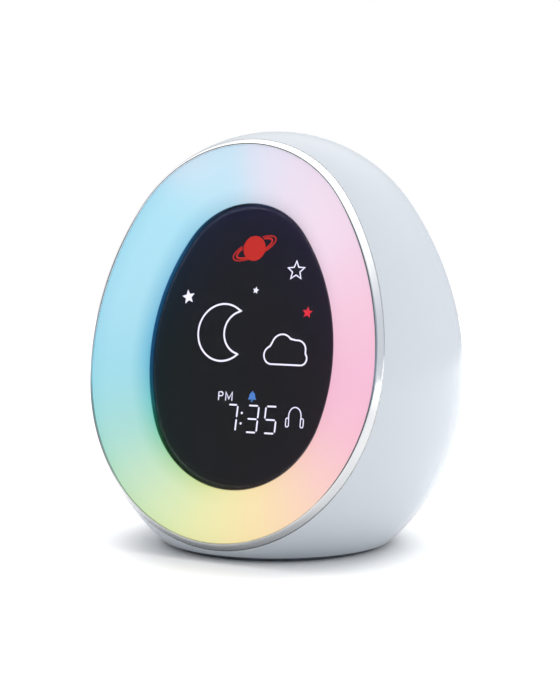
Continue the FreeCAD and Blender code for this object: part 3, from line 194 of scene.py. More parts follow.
class Shade:
    """A material with its nodes; helpers keep the scripts below short."""

    def __init__(self, name):
        self.mat = bpy.data.materials.new(name)
        self.mat.use_nodes = True
        self.t = self.mat.node_tree
        self.b = self.t.nodes["Principled BSDF"]
        self.co = self.t.nodes.new("ShaderNodeTexCoord")

    def set(self, **sockets):
        for k, v in sockets.items():
            s = self.b.inputs[k.replace("_", " ")]
            s.default_value = v
        return self

    def node(self, kind, **props):
        n = self.t.nodes.new("ShaderNode" + kind)
        for k, v in props.items():
            if k.startswith("in_"):
                n.inputs[k[3:].replace("_", " ")].default_value = v
            else:
                setattr(n, k, v)
        return n

    def link(self, a, b):
        self.t.links.new(a, b)

    def mapped(self, scale=(1, 1, 1), turn=(0, 0, 0)):
        m = self.node("Mapping")
        m.inputs["Scale"].default_value = scale
        m.inputs["Rotation"].default_value = turn
        self.link(self.co.outputs["Object"], m.inputs["Vector"])
        return m.outputs["Vector"]

    def noise(self, scale, detail=2.0, rough=0.5, vector=None):
        n = self.node("TexNoise", in_Scale=scale, in_Detail=detail, in_Roughness=rough)
        self.link(vector or self.co.outputs["Object"], n.inputs["Vector"])
        return n.outputs["Fac"]

    def ranged(self, value, lo, hi, a=0.3, b=0.7):
        r = self.node("MapRange")
        for s, x in zip(("From Min", "From Max", "To Min", "To Max"), (a, b, lo, hi)):
            r.inputs[s].default_value = x
        self.link(value, r.inputs["Value"])
        return r.outputs["Result"]

    def mixed(self, fac, a, b):
        m = self.node("Mix", data_type="RGBA")
        self.link(fac, m.inputs["Factor"])
        for s, x in ((m.inputs["A"] if False else m.inputs[6], a), (m.inputs[7], b)):
            if isinstance(x, (tuple, list)):
                s.default_value = (*x[:3], 1.0)
            else:
                self.link(x, s)
        return m.outputs[2]

    def maths(self, op, a, b=None, clamp=False):
        m = self.node("Math", operation=op, use_clamp=clamp)
        for i, x in enumerate((a, b)):
            if x is None:
                continue
            if isinstance(x, (int, float)):
                m.inputs[i].default_value = x
            else:
                self.link(x, m.inputs[i])
        return m.outputs[0]

    def bump(self, height, depth, strength=1.0, over=None):
        n = self.node("Bump", in_Strength=strength, in_Distance=depth)
        self.link(height, n.inputs["Height"])
        if over is not None:
            self.link(over, n.inputs["Normal"])
        return n.outputs["Normal"]

    def to(self, value, socket):
        self.link(value, self.b.inputs[socket])
        return self


def plastic(name, rgb, rough, vary=0.04, grain=1400.0, depth=0.00001, rough_vary=0.05, blotch=60.0, **more):
    s = Shade(name)
    darker = tuple(max(0.0, c * (1 - vary)) for c in rgb)
    s.to(s.mixed(s.ranged(s.noise(blotch, 3.0), 0, 1), darker, rgb), "Base Color")
    s.to(s.ranged(s.noise(blotch * 6, 4.0), max(0.02, rough - rough_vary), rough + rough_vary), "Roughness")
    if depth:
        s.to(s.bump(s.noise(grain, 2.0), depth), "Normal")
    s.set(**more)
    return s.mat


def metal(name, rgb, rough, stretch=(1, 1, 1), grain=2500.0, depth=0.000004, rough_vary=0.06, **more):
    s = Shade(name)
    v = s.mapped(stretch)
    s.to(s.mixed(s.ranged(s.noise(grain * 0.2, 3.0, vector=v), 0, 1), tuple(c * 0.9 for c in rgb), rgb), "Base Color")
    s.to(s.ranged(s.noise(grain * 0.5, 4.0, vector=v), max(0.02, rough - rough_vary), rough + rough_vary), "Roughness")
    s.to(s.bump(s.noise(grain, 2.0, vector=v), depth), "Normal")
    s.set(Metallic=1.0, **more)
    return s.mat


# glossy white casing: moulded, polished, with a hint of flow unevenness
s = Shade("casing_white")
s.to(s.mixed(s.ranged(s.noise(14.0, 2.0), 0, 1), (0.492, 0.526, 0.566), (0.503, 0.536, 0.574)), "Base Color")
s.to(s.ranged(s.noise(380.0, 5.0), 0.16, 0.22), "Roughness")
s.to(s.bump(s.noise(85.0, 1.0), 0.000012, over=s.bump(s.noise(1500.0, 2.0), 0.0000012)), "Normal")
s.set(Specular_IOR_Level=0.28, IOR=1.47)
casing = s.mat

# bright trim
s = Shade("bright_trim")
axes = s.node("SeparateXYZ")
s.link(s.co.outputs["Object"], axes.inputs[0])
# painted shade: the trim's base colour is darkened by height, to 0.45 at the table, 0.6 up to 58 mm, and full only
# above 72 mm
painted_shade_by_height = s.maths("MULTIPLY", s.ranged(axes.outputs["Z"], 0.75, 1, 0.003, 0.020), s.ranged(axes.outputs["Z"], 0.60, 1, 0.058, 0.072))
plate = s.mixed(s.ranged(s.noise(120.0, 3.0), 0, 1), (0.88, 0.895, 0.915), (0.92, 0.93, 0.945))
painted_trim_shade = s.mixed(painted_shade_by_height, (0.0, 0.0, 0.0), (1.0, 1.0, 1.0))
tone = s.node("Mix", data_type="RGBA", blend_type="MULTIPLY")
tone.inputs[0].default_value = 1.0
s.link(plate, tone.inputs[6])
s.link(painted_trim_shade, tone.inputs[7])
s.to(tone.outputs[2], "Base Color")
s.to(s.ranged(s.noise(900.0, 4.0), 0.10, 0.16), "Roughness")
s.set(Metallic=1.0)
trim = s.mat

# ------------------------------------------------------------------ light ring
# Coloured lamps behind a milky skin. Each lamp: angle in degrees from the right, how far in (0 rim, 1 window),
# linear colour, weight. The skin mixes them by distance.

LAMPS = [
    (-4, 0.50, (0.90, 0.44, 0.63), 1.0),
    (16, 0.50, (0.90, 0.49, 0.65), 1.0),
    (34, 0.50, (0.88, 0.56, 0.72), 1.0),
    (52, 0.50, (0.85, 0.64, 0.79), 1.0),
    (68, 0.50, (0.80, 0.65, 0.79), 1.0),
    (82, 0.50, (0.70, 0.68, 0.82), 1.0),
    (98, 0.50, (0.39, 0.72, 0.87), 1.0),
    # painted highlight: this entry, just outside the rim at the top left, paints a pale streak on the skin
    (106, -0.10, (0.64, 0.72, 0.84), 1.0),
    (116, 0.50, (0.33, 0.71, 0.87), 1.0),
    (136, 0.50, (0.34, 0.71, 0.86), 1.0),
    (158, 0.50, (0.33, 0.71, 0.86), 1.0),
    (180, 0.50, (0.29, 0.69, 0.83), 1.0),
    (199, 0.50, (0.29, 0.69, 0.74), 1.0),
    (215, 0.50, (0.34, 0.70, 0.59), 1.0),
    (232, 0.50, (0.49, 0.745, 0.49), 1.0),
    (249, 0.50, (0.65, 0.79, 0.40), 1.0),
    (266, 0.50, (0.82, 0.80, 0.34), 1.0),
    (283, 0.50, (0.95, 0.745, 0.33), 1.0),
    (300, 0.50, (0.96, 0.665, 0.41), 1.0),
    (317, 0.50, (0.95, 0.54, 0.53), 1.0),
    (336, 0.50, (0.92, 0.455, 0.60), 1.0),
]


def ray_hit(sizes, ang, centre=10.0):
    """Where a ray from the centre at that angle meets an outline."""
    pts = outline(sizes)
    best, at = 9.0, None
    for u, v in pts:
        d = abs((math.atan2(v - centre, u) - ang + math.pi) % (2 * math.pi) - math.pi)
        if d < best:
            best, at = d, (u, v)
    return at


LAMP_AT = []
for deg, share, rgb, weight in LAMPS:
    a = math.radians(deg)
    (u0, v0), (u1, v1) = ray_hit(RIM, a), ray_hit(WIN, a)
    LAMP_AT.append((u0 + (u1 - u0) * share, v0 + (v1 - v0) * share, rgb, weight))


def glow_at(u, v, share):
    """Mixed lamp colour on the skin, with painted shade."""
    total, rgb = 0.0, [0.0, 0.0, 0.0]
    for lu, lv, c, w in LAMP_AT:
        k = w * math.exp(-((u - lu) ** 2 + (v - lv) ** 2) / (2 * 9.5 ** 2))
        total += k
        for i in range(3):
            rgb[i] += k * c[i]
    rgb = [x / total for x in rgb]
    # painted shade: the skin is darker and deeper in colour next to the window and at the rim, most of all on the left
    # side
    a = math.atan2(v - 10.0, u)
    left = max(0.0, -math.cos(a)) ** 0.7
    t = max(0.0, (share - 0.68) / 0.32)
    near = 1.05 * left * t ** 1.3 + 0.10 * t
    edge = 0.22 * left * max(0.0, 1 - share / 0.3)
    # painted shadow: a darker band on the skin just above the window's top
    painted_shadow_band = 0.24 * math.exp(-((math.degrees(a) - 70) / 34) ** 2) * t ** 2
    top = max(rgb)
    return [x * (1 - (near + edge) * (1 - 0.8 * x / top)) * (1 - painted_shadow_band) for x in rgb]


s = Shade("milky_glow")
att = s.node("Attribute", attribute_name="glow")
milk = s.mixed(s.ranged(s.noise(40.0, 3.0), 0.42, 0.50), att.outputs["Color"], (0.55, 0.55, 0.56))
dim_milk = s.node("Mix", data_type="RGBA", blend_type="MULTIPLY")
dim_milk.inputs[0].default_value = 1.0
s.link(milk, dim_milk.inputs[6])
dim_milk.inputs[7].default_value = (0.42, 0.42, 0.42, 1)
s.to(dim_milk.outputs[2], "Base Color")
s.to(att.outputs["Color"], "Emission Color")
s.to(s.ranged(s.noise(700.0, 4.0), 0.30, 0.38), "Roughness")
s.to(s.bump(s.noise(1800.0, 2.0), 0.0000025), "Normal")
s.set(Emission_Strength=0.665, IOR=1.46)
milky = s.mat

STEPS = 44
shares = [i / STEPS for i in range(STEPS + 1)]
ring_in, ring_out = offset(WIN, 0.0), offset(RIM, -0.1)
back_out = offset(RIM, -2.6)
spec, tags = [], []


def add(sizes, n, share):
    spec.append((sizes, n))
    tags.append(share)


add(ring_out, LEDGE_T, 0.0)
add(ring_out, 1.6, 0.0)
for k in range(5):   # rounded rim
    a = math.pi / 2 * k / 4
    add(offset(ring_out, -0.35 * (1 - math.cos(a))), RIM_N - 0.35 + 0.35 * math.sin(a) - (0.02 if k == 4 else 0.0), 0.0)
for t in shares[1:-1]:
    add(between(ring_out, ring_in, t), RIM_N - FALL * t ** 1.35, t)
for k in range(5):   # rounded inner edge
    a = math.pi / 2 * k / 4
    add(offset(ring_in, 0.3 * (1 - math.sin(a))), LENS_N + 0.08 - 0.3 * (1 - math.cos(a)), 1.0)
add(ring_in, LENS_N - 1.6, 1.0)
add(ring_in, LENS_N - LENS_T - 0.2, 1.0)
add(offset(ring_in, 1.4), LENS_N - LENS_T - 0.2, 1.0)
add(offset(ring_in, 1.4), LENS_N - 1.2, 1.0)
for t in reversed(shares[:-4:4]):
    add(between(back_out, ring_in, t), RIM_N - SKIN - FALL * t ** 1.35, t)
add(back_out, LEDGE_T, 0.0)

bm, grid = ring_mesh(rows_of(spec))
bm.verts.ensure_lookup_table()
glow = []
for (sizes, n), share in zip(spec, tags):
    for u, v in outline(sizes):
        depth = max(0.0, LENS_N - n)
        c = glow_at(u, v, share)
        if depth > 0.05:
            top = max(c)
            c = [0.62 * top * (x / top) ** 2.2 / (1.0 + depth * 0.12) for x in c]
        glow.append(c)
light_ring = finished("light_ring", bm, milky, "case", ["light_ring_diffuser"], weighted=False)
layer = light_ring.data.color_attributes.new("glow", "FLOAT_COLOR", "POINT")
layer.data.foreach_set("color", np.hstack([np.array(glow, np.float32), np.ones((len(glow), 1), np.float32)]).ravel())

# ------------------------------------------------------------------ trim ring

E = 0.50   # edge rounding
inner = offset(RIM, 0.0)
spec = []
spec.append((skin_outline(0.02), 0.02))
for n in (0.5, 1.2, 1.9, 2.25):
    spec.append((skin_outline(n), n))
top_out = skin_outline(BEZEL_T - E)
for k in range(1, 6):
    a = math.pi / 2 * k / 5
    pull = E * (1 - math.cos(a))
    pts = []
    for (u, v) in skin_outline(BEZEL_T - E + E * math.sin(a) * 0.999):
        r = math.hypot(u, v - 8.0)
        pts.append((u * (1 - pull / r), 8.0 + (v - 8.0) * (1 - pull / r)))
    spec.append((pts, BEZEL_T - E + E * math.sin(a)))
e = 0.12
for k in range(0, 5):
    a = math.pi / 2 * k / 4
    spec.append((offset(inner, e * (1 - math.sin(a))), BEZEL_T - e * (1 - math.cos(a))))
spec.append((inner, 1.6))
spec.append((inner, LEDGE_T))
spec.append((offset(MOUTH, -4.6), LEDGE_T))
spec.append((offset(MOUTH, -4.6), 0.02))
bm, _ = ring_mesh(rows_of(spec))
finished("trim_ring", bm, trim, "case", ["chrome_bezel"], weighted=True)

# ------------------------------------------------------------------ smoked window

s = Shade("smoked_window")
s.to(s.ranged(s.noise(900.0, 3.0), 0.02, 0.05), "Roughness")
s.set(Base_Color=(0.56, 0.56, 0.60, 1.0), Transmission_Weight=1.0, IOR=1.49)
smoked = s.mat

BACK_N = LENS_N - LENS_T + 0.05
lens_out = offset(WIN, -0.08)
spec = [(offset(lens_out, -2.0), BACK_N), (lens_out, BACK_N), (lens_out, LENS_N - 2.0)]
for k in range(7):
    a = math.pi / 2 * k / 6
    spec.append((offset(lens_out, -0.35 * (1 - math.cos(a))), LENS_N - 0.35 + 0.35 * math.sin(a)))
spec.append((offset(lens_out, -2.0), LENS_N))
bm, grid = ring_mesh(rows_of(spec), closed=False)
bm.faces.new(grid[0])
bm.faces.new(list(reversed(grid[-1])))
finished("window", bm, smoked, "case", ["display_lens"], weighted=True)

# painted light: an emissive sheet just inside the window's side and over the film stands for light from the ring seen
# at the window's edge, and for a little of it spread over the film.
s = Shade("painted_spill_light")
att = s.node("Attribute", attribute_name="glow")
s.to(att.outputs["Color"], "Emission Color")
s.to(s.ranged(s.noise(600.0, 2.0), 0.42, 0.5), "Roughness")
s.set(Base_Color=(0.010, 0.010, 0.012, 1.0), Emission_Strength=1.0)
painted_spill_light = s.mat

SHEET_N = LENS_N - LENS_T + 0.0015
FILM_PAINTED_LIGHT = [(180, (0.003, 0.031, 0.034)), (128, (0.004, 0.030, 0.060)), (90, (0.028, 0.022, 0.110)), (40, (0.034, 0.021, 0.070)),
              (0, (0.044, 0.022, 0.044)), (-45, (0.032, 0.022, 0.034)), (-90, (0.024, 0.022, 0.024)), (-140, (0.008, 0.028, 0.024))]


def painted_film_light(u, v, gap):
    """Painted light on the film, gap millimetres from the window's edge."""
    a = math.degrees(math.atan2(v - 10.0, u))
    total, rgb = 0.0, [0.0, 0.0, 0.0]
    for deg, c in FILM_PAINTED_LIGHT:
        k = math.exp(-(((a - deg + 180) % 360 - 180) / 30.0) ** 2)
        total += k
        rgb = [x + k * y for x, y in zip(rgb, c)]
    k = math.exp(-gap / 14.0)
    rgb = [x / total * k + (1 - k) * m for x, m in zip(rgb, (0.020, 0.018, 0.018))]
    c = glow_at(u, v, 0.9)
    top = max(c)
    return [0.52 * x + 0.05 * (y / top) ** 4 * math.exp(-gap / 0.9) for x, y in zip(rgb, c)]


cup = offset(WIN, -0.15)
spec, glow = [], []
# painted light on the window's side wall, strongest on the left side, from about 128 to 198 degrees
for n, k in ((LENS_N - 0.42, 0.40), (LENS_N - 1.4, 0.46), (LENS_N - 2.6, 0.42), (SHEET_N + 0.012, 0.34)):
    spec.append((cup, n))
    for u, v in outline(cup):
        c = glow_at(u, v, 0.9)
        top, a = max(c), math.degrees(math.atan2(v - 10.0, u)) % 360
        side = min(1.0, max(0.03, (a - 98) / 30)) * min(1.0, max(0.03, (238 - a) / 40))
        glow.append([0.62 * k * side * top * (x / top) ** 3.0 for x in c])
for gap in (0.0, 0.4, 0.9, 1.5, 2.4, 4.0, 7.0, 11.0, 16.0, 22.0, 28.0):
    spec.append((offset(cup, -gap), SHEET_N))
    glow += [painted_film_light(u, v, gap) for u, v in outline(offset(cup, -gap))]
bm, grid = ring_mesh(rows_of(spec), closed=False)
bm.faces.new(grid[-1])
sheet = finished("window_edge_painted_light", bm, painted_spill_light, "case", smooth=True, recalc=False)
layer = sheet.data.color_attributes.new("glow", "FLOAT_COLOR", "POINT")
layer.data.foreach_set("color", np.hstack([np.array(glow, np.float32), np.ones((len(glow), 1), np.float32)]).ravel())

# ------------------------------------------------------------------ display figures, on the film behind the window

FIG_N, FIG_T = LENS_N - LENS_T + 0.008, 0.02


class Figure:
    """Flat figures in millimetres on some surface, given a little thickness."""

    def __init__(self, at):
        self.bm, self.at = bmesh.new(), at

    def solid(self, pts):
        """One outline without holes, any shape."""
        area = sum(a[0] * b[1] - b[0] * a[1] for a, b in zip(pts, pts[1:] + pts[:1]))
        if area < 0:
            pts = list(reversed(pts))
        low = [self.bm.verts.new(self.at(x, y, 0)) for x, y in pts]
        high = [self.bm.verts.new(self.at(x, y, 1)) for x, y in pts]
        k = len(pts)
        for i in range(k):
            self.bm.faces.new((low[i], low[(i + 1) % k], high[(i + 1) % k], high[i]))
        top, bottom = self.bm.faces.new(high), self.bm.faces.new(list(reversed(low)))
        top.normal_update()
        bottom.normal_update()
        bmesh.ops.triangulate(self.bm, faces=[top, bottom], ngon_method="EAR_CLIP")

    def band(self, outer, inner):
        """The strip between two outlines with equally many points."""
        k = len(outer)
        rows = []
        for pts, h in ((outer, 0), (outer, 1), (inner, 1), (inner, 0)):
            rows.append([self.bm.verts.new(self.at(x, y, h)) for x, y in pts])
        for i in range(4):
            a, b = rows[i], rows[(i + 1) % 4]
            for j in range(k):
                self.bm.faces.new((a[j], a[(j + 1) % k], b[(j + 1) % k], b[j]))

    def disc(self, x, y, r, k=40, ry=None):
        self.solid([(x + r * math.cos(2 * math.pi * i / k), y + (ry or r) * math.sin(2 * math.pi * i / k)) for i in range(k)])

    def circle(self, x, y, r, width, k=56):
        f = lambda q: [(x + q * math.cos(2 * math.pi * i / k), y + q * math.sin(2 * math.pi * i / k)) for i in range(k)]
        self.band(f(r + width / 2), f(r - width / 2))

    def stroke(self, pts, width, closed=False, ends=6):
        """A line of even width with round ends."""
        h = width / 2
        k = len(pts)

        def normal(i):
            a = pts[(i - 1) % k] if closed or i > 0 else pts[i]
            b = pts[(i + 1) % k] if closed or i < k - 1 else pts[i]
            dx, dy = b[0] - a[0], b[1] - a[1]
            q = math.hypot(dx, dy) or 1.0
            nx, ny = -dy / q, dx / q
            if (closed or 0 < i < k - 1):
                ax, ay = pts[i][0] - a[0], pts[i][1] - a[1]
                m = math.hypot(ax, ay) or 1.0
                c = max(0.5, (nx * -ay + ny * ax) / m)
                nx, ny = nx / c, ny / c
            return nx, ny

        left = [(p[0] + normal(i)[0] * h, p[1] + normal(i)[1] * h) for i, p in enumerate(pts)]
        right = [(p[0] - normal(i)[0] * h, p[1] - normal(i)[1] * h) for i, p in enumerate(pts)]
        if closed:
            area = sum(a[0] * b[1] - b[0] * a[1] for a, b in zip(pts, pts[1:] + pts[:1]))
            self.band(*((right, left) if area > 0 else (left, right)))
            return

        def cap(p, q):
            a = math.atan2(p[1] - q[1], p[0] - q[0])
            return [(p[0] + h * math.cos(a + math.pi / 2 - math.pi * i / ends),
                     p[1] + h * math.sin(a + math.pi / 2 - math.pi * i / ends)) for i in range(1, ends)]

        self.solid(left + cap(pts[-1], pts[-2]) + list(reversed(right)) + cap(pts[0], pts[1]))

    def bar(self, x0, y0, x1, y1, width):
        """A straight segment with pointed ends, as on a segment display."""
        dx, dy = x1 - x0, y1 - y0
        q = math.hypot(dx, dy)
        dx, dy = dx / q, dy / q
        nx, ny = -dy, dx
        h = width / 2
        self.solid([(x0, y0), (x0 + dx * h - nx * h, y0 + dy * h - ny * h), (x1 - dx * h - nx * h, y1 - dy * h - ny * h),
                    (x1, y1), (x1 - dx * h + nx * h, y1 - dy * h + ny * h), (x0 + dx * h + nx * h, y0 + dy * h + ny * h)])

    def done(self, name, mat, body):
        return finished(name, self.bm, mat, body, smooth=False)


def on_film(x, y, h):
    return front(x, y, FIG_N + FIG_T * h)


def lit(name, rgb, power, base=0.3):
    s = Shade(name)
    s.to(s.mixed(s.ranged(s.noise(500.0, 2.0), 0, 1), tuple(c * 0.93 for c in rgb), rgb), "Emission Color")
    s.set(Base_Color=(*[c * base for c in rgb], 1.0), Roughness=0.5, Emission_Strength=power)
    return s.mat


POWER = 1.0 / 0.56
lit_pale = lit("lit_pale", (0.70, 0.69, 0.80), 1.5 * POWER)
lit_red = lit("lit_red", (0.60, 0.026, 0.018), 0.95 * POWER)
lit_bright_red = lit("lit_bright_red", (0.80, 0.03, 0.05), 1.0 * POWER)
lit_blue = lit("lit_blue", (0.10, 0.28, 0.72), 0.85 * POWER)


def arc(x, y, r, a0, a1, k=24, ry=None):
    return [(x + r * math.cos(math.radians(a0 + (a1 - a0) * i / k)),
             y + (ry or r) * math.sin(math.radians(a0 + (a1 - a0) * i / k))) for i in range(k + 1)]


def star(x, y, r, inner=0.42, turn=90, k=5):
    return [(x + (r if i % 2 == 0 else r * inner) * math.cos(math.radians(turn + 180 * i / k)),
             y + (r if i % 2 == 0 else r * inner) * math.sin(math.radians(turn + 180 * i / k))) for i in range(2 * k)]


# ringed planet: a disc, and a leaning ring that passes behind it
f = Figure(on_film)
SX, SY, LEAN = 2.5, 55.0, math.radians(22)
f.disc(SX, SY, 4.9, 56)


def leaning(x, y):
    return (SX + x * math.cos(LEAN) - y * math.sin(LEAN), SY + x * math.sin(LEAN) + y * math.cos(LEAN))


for grow, width in ((0.0, 0.75), (1.7, 0.5)):
    rx, ry = 8.2 + grow, 2.5 + grow * 0.42
    lead_in = next(d for d in range(0, 90) if math.hypot(rx * math.cos(math.radians(d)), ry * math.sin(math.radians(d))) < 5.7)
    f.stroke([leaning(rx * math.cos(math.radians(d)), ry * math.sin(math.radians(d)))
              for d in range(180 - lead_in, 361 + lead_in, 3)], width)
f.done("figure_planet", lit_red, "case")

# crescent moon, outline
f = Figure(on_film)
MX, MY = -9.0, 22.0
outer = arc(MX, MY, 11.2, 48, 312, 60)
p0, p1 = outer[0], outer[-1]
cx = MX + 9.2
r_in = math.hypot(p0[0] - cx, p0[1] - MY)
a_in = math.degrees(math.atan2(p0[1] - MY, p0[0] - cx))
inner_arc = arc(cx, MY, r_in, 360 - a_in, a_in, 44)
f.stroke(outer + inner_arc[1:-1], 0.72, closed=True)
f.done("figure_moon", lit_pale, "case")

# cloud, outline
f = Figure(on_film)
CX, CY = 19.5, 14.2
cloud = (arc(CX - 5.9, CY - 0.6, 3.5, 262, 108, 18) + arc(CX - 1.9, CY + 3.0, 4.4, 160, 38, 22)
         + arc(CX + 4.6, CY + 1.5, 3.7, 98, -8, 18) + arc(CX + 6.4, CY - 1.7, 2.6, 42, -84, 16))
clean = [cloud[0]]
for p in cloud[1:]:
    if math.hypot(p[0] - clean[-1][0], p[1] - clean[-1][1]) > 0.25:
        clean.append(p)
f.stroke(clean, 0.62, closed=True)
f.done("figure_cloud", lit_pale, "case")

# stars
f = Figure(on_film)
f.stroke(star(21.5, 46.0, 3.7, 0.45), 0.5, closed=True)
f.solid(star(-26.0, 36.0, 3.0, 0.45, 100))
f.solid(star(4.5, 38.5, 1.5, 0.42, 80))
f.done("figure_stars", lit_pale, "case")
f = Figure(on_film)
f.solid(star(27.5, 30.0, 2.3, 0.45, 84))
f.done("figure_small_star", lit_bright_red, "case")

# half-day mark, drawn with plain strokes
f = Figure(on_film)
PX, PY, PH, PW = -8.6, -4.3, 3.1, 2.0
f.stroke([(PX, PY), (PX, PY + PH), (PX + PW * 0.55, PY + PH)] + arc(PX + PW * 0.55, PY + PH * 0.75, PH * 0.25, 90, -90, 8)
         + [(PX + 0.1, PY + PH * 0.5)], 0.42)
f.stroke([(PX + 3.2, PY), (PX + 3.2, PY + PH), (PX + 4.6, PY + 0.5), (PX + 6.0, PY + PH), (PX + 6.0, PY)], 0.42)
f.done("figure_half_day", lit_pale, "case")

# small bell
f = Figure(on_film)
BX, BY = 6.3, -2.5
bell = [(BX - 1.9, BY - 1.2), (BX - 1.35, BY - 0.4)] + arc(BX, BY + 0.35, 1.25, 172, 8, 10) + [(BX + 1.35, BY - 0.4), (BX + 1.9, BY - 1.2)]
f.solid(bell)
f.disc(BX, BY - 1.75, 0.36, 16)
f.disc(BX, BY + 1.8, 0.28, 14)
f.done("figure_bell", lit_blue, "case")

# time in separate bars
SEGMENTS = {"0": "abcdef", "1": "bc", "2": "abged", "3": "abgcd", "4": "fgbc", "5": "afgcd", "6": "afgedc", "7": "abc", "8": "abcdefg", "9": "abcdfg"}


def digit(f, ch, x, y, w, h, width, slant):
    g = 0.33
    lines = {"a": (0, h, w, h), "g": (0, h / 2, w, h / 2), "d": (0, 0, w, 0), "f": (0, h / 2, 0, h), "b": (w, h / 2, w, h),
             "e": (0, 0, 0, h / 2), "c": (w, 0, w, h / 2)}
    for k in SEGMENTS[ch]:
        x0, y0, x1, y1 = lines[k]
        q = math.hypot(x1 - x0, y1 - y0)
        dx, dy = (x1 - x0) / q * g, (y1 - y0) / q * g
        x0, y0, x1, y1 = x0 + dx, y0 + dy, x1 - dx, y1 - dy
        f.bar(x + x0 + y0 * slant, y + y0, x + x1 + y1 * slant, y + y1, width)


f = Figure(on_film)
DH, DW, DY0, SL = 10.2, 4.8, -16.2, 0.05
digit(f, "7", -4.5, DY0, DW - 0.5, DH, 0.64, SL)
for yy in (DY0 + 3.2, DY0 + 7.2):
    f.disc(1.9 + (yy - DY0) * SL, yy, 0.46, 16)
digit(f, "3", 4.3, DY0, DW, DH, 0.64, SL)
digit(f, "5", 12.2, DY0, DW, DH, 0.64, SL)
f.done("figure_time", lit_pale, "case")

# small headphone mark
f = Figure(on_film)
HX, HY = 25.2, -9.6
f.stroke([(HX - 2.6, HY - 0.9)] + arc(HX, HY + 0.5, 2.6, 180, 0, 20, 3.2) + [(HX + 2.6, HY - 0.9)], 0.42)
for sx in (-1, 1):
    cup_x = HX + sx * 3.1
    f.stroke(arc(cup_x, HY - 1.0, 0.62, 180, 0, 6) + arc(cup_x, HY - 3.2, 0.62, 0, -180, 6), 0.36, closed=True)
f.done("figure_sound", lit_pale, "case")

# ------------------------------------------------------------------ control side: marks on the six buttons

PT = math.radians(26.4)
P0 = Vector((0.0, 62.1, 122.0))
PX_, PY_, PZ_ = Vector((1, 0, 0)), Vector((0, math.sin(PT), -math.cos(PT))), Vector((0, math.cos(PT), math.sin(PT)))


def on_key(kx, ky):
    def at(x, y, h):
        p = P0 + PX_ * (kx - x) + PY_ * (ky - y)   # x runs to the right of someone who looks at the back
        lo, hi = -10.0, 20.0
        for _ in range(36):
            mid = (lo + hi) / 2
            if egg_gap(p + PZ_ * mid, 0.9) > 0:
                hi = mid
            else:
                lo = mid
        return (p + PZ_ * (lo - 0.03 + 0.06 * h)) * MM
    return at


ink = plastic("mark_ink", (0.13, 0.16, 0.22), 0.45, depth=0)


def key(name, kx, ky, draw):
    f = Figure(on_key(kx, ky))
    draw(f)
    f.done("mark_" + name, ink, "button_" + name)


def draw_time(f):
    f.circle(0, 0, 1.9, 0.32)
    f.stroke([(0, 1.15), (0, 0), (0.85, -0.45)], 0.3)


def draw_alarm(f):
    f.solid([(-1.9, -1.1), (-1.3, -0.4)] + arc(0, 0.45, 1.2, 170, 10, 10) + [(1.3, -0.4), (1.9, -1.1)])
    f.disc(0, -1.62, 0.34, 14)
    f.disc(0, 1.85, 0.26, 12)


def draw_light(f):
    f.stroke(arc(0, 0.5, 1.35, -55, 235, 26) + [(-0.55, -1.15), (0.55, -1.15)], 0.3, closed=True)
    f.stroke([(-0.5, -1.65), (0.5, -1.65)], 0.28)


def draw_down(f):
    f.stroke([(-1.5, 0), (1.5, 0)], 0.42)


def draw_up(f):
    f.solid([(-1.5, 0.21), (-0.21, 0.21), (-0.21, 1.5), (0.21, 1.5), (0.21, 0.21), (1.5, 0.21), (1.5, -0.21), (0.21, -0.21),
             (0.21, -1.5), (-0.21, -1.5), (-0.21, -0.21), (-1.5, -0.21)])


def draw_play(f):
    f.solid([(-2.0, -1.3), (0.2, 0), (-2.0, 1.3)])
    for x in (0.9, 1.8):
        f.solid([(x - 0.2, -1.25), (x + 0.2, -1.25), (x + 0.2, 1.25), (x - 0.2, 1.25)])


for name, kx, ky, draw in (("time", -18.5, -5.6, draw_time), ("alarm", 0.0, -5.6, draw_alarm), ("light", 18.5, -5.6, draw_light),
                           ("volume_down", -18.5, 5.6, draw_down), ("play", 0.0, 5.6, draw_play), ("volume_up", 18.5, 5.6, draw_up)):
    key(name, kx, ky, draw)

# ------------------------------------------------------------------ materials of the other pieces

button = plastic("button_grey", (0.37, 0.42, 0.49), 0.42, vary=0.05, grain=2600.0, depth=0.000006)
panel = plastic("panel_grey", (0.465, 0.50, 0.545), 0.34, vary=0.04, grain=2200.0, depth=0.000005)
dark = plastic("dark_plastic", (0.028, 0.029, 0.032), 0.5, vary=0.2, grain=2400.0, depth=0.00001)
white = plastic("inner_white", (0.78, 0.78, 0.77), 0.5, vary=0.05)
rubber = plastic("foot_rubber", (0.125, 0.142, 0.165), 0.72, vary=0.25, grain=3200.0, depth=0.00003, Sheen_Weight=0.1)
wrap = plastic("cell_wrap", (0.05, 0.22, 0.50), 0.25, vary=0.08, depth=0.000004)
lead = plastic("lead_cover", (0.50, 0.035, 0.02), 0.4, vary=0.1)
flat = plastic("flat_cable", (0.82, 0.82, 0.79), 0.4, vary=0.05, depth=0.000003)
chip = plastic("chip_black", (0.022, 0.022, 0.024), 0.55, vary=0.15, grain=4000.0, depth=0.000008)
foam = plastic("foam_dark", (0.03, 0.03, 0.03), 0.95, vary=0.3, grain=2600.0, depth=0.00012)
cone = plastic("cone_paper", (0.045, 0.045, 0.05), 0.8, vary=0.3, grain=2400.0, depth=0.00008)
steel = metal("steel", (0.60, 0.60, 0.62), 0.30)
shield = metal("shield_tin", (0.70, 0.70, 0.70), 0.34, stretch=(1, 12, 12))
socket = metal("socket_shell", (0.66, 0.66, 0.68), 0.26, stretch=(1, 14, 1))
ferrite = plastic("ferrite", (0.07, 0.07, 0.075), 0.7, vary=0.3, grain=2600.0, depth=0.00005)
copper = metal("coil_wire", (0.78, 0.36, 0.17), 0.32, stretch=(1, 30, 1))
film = plastic("film_black", (0.010, 0.010, 0.012), 0.45, vary=0.2, depth=0)

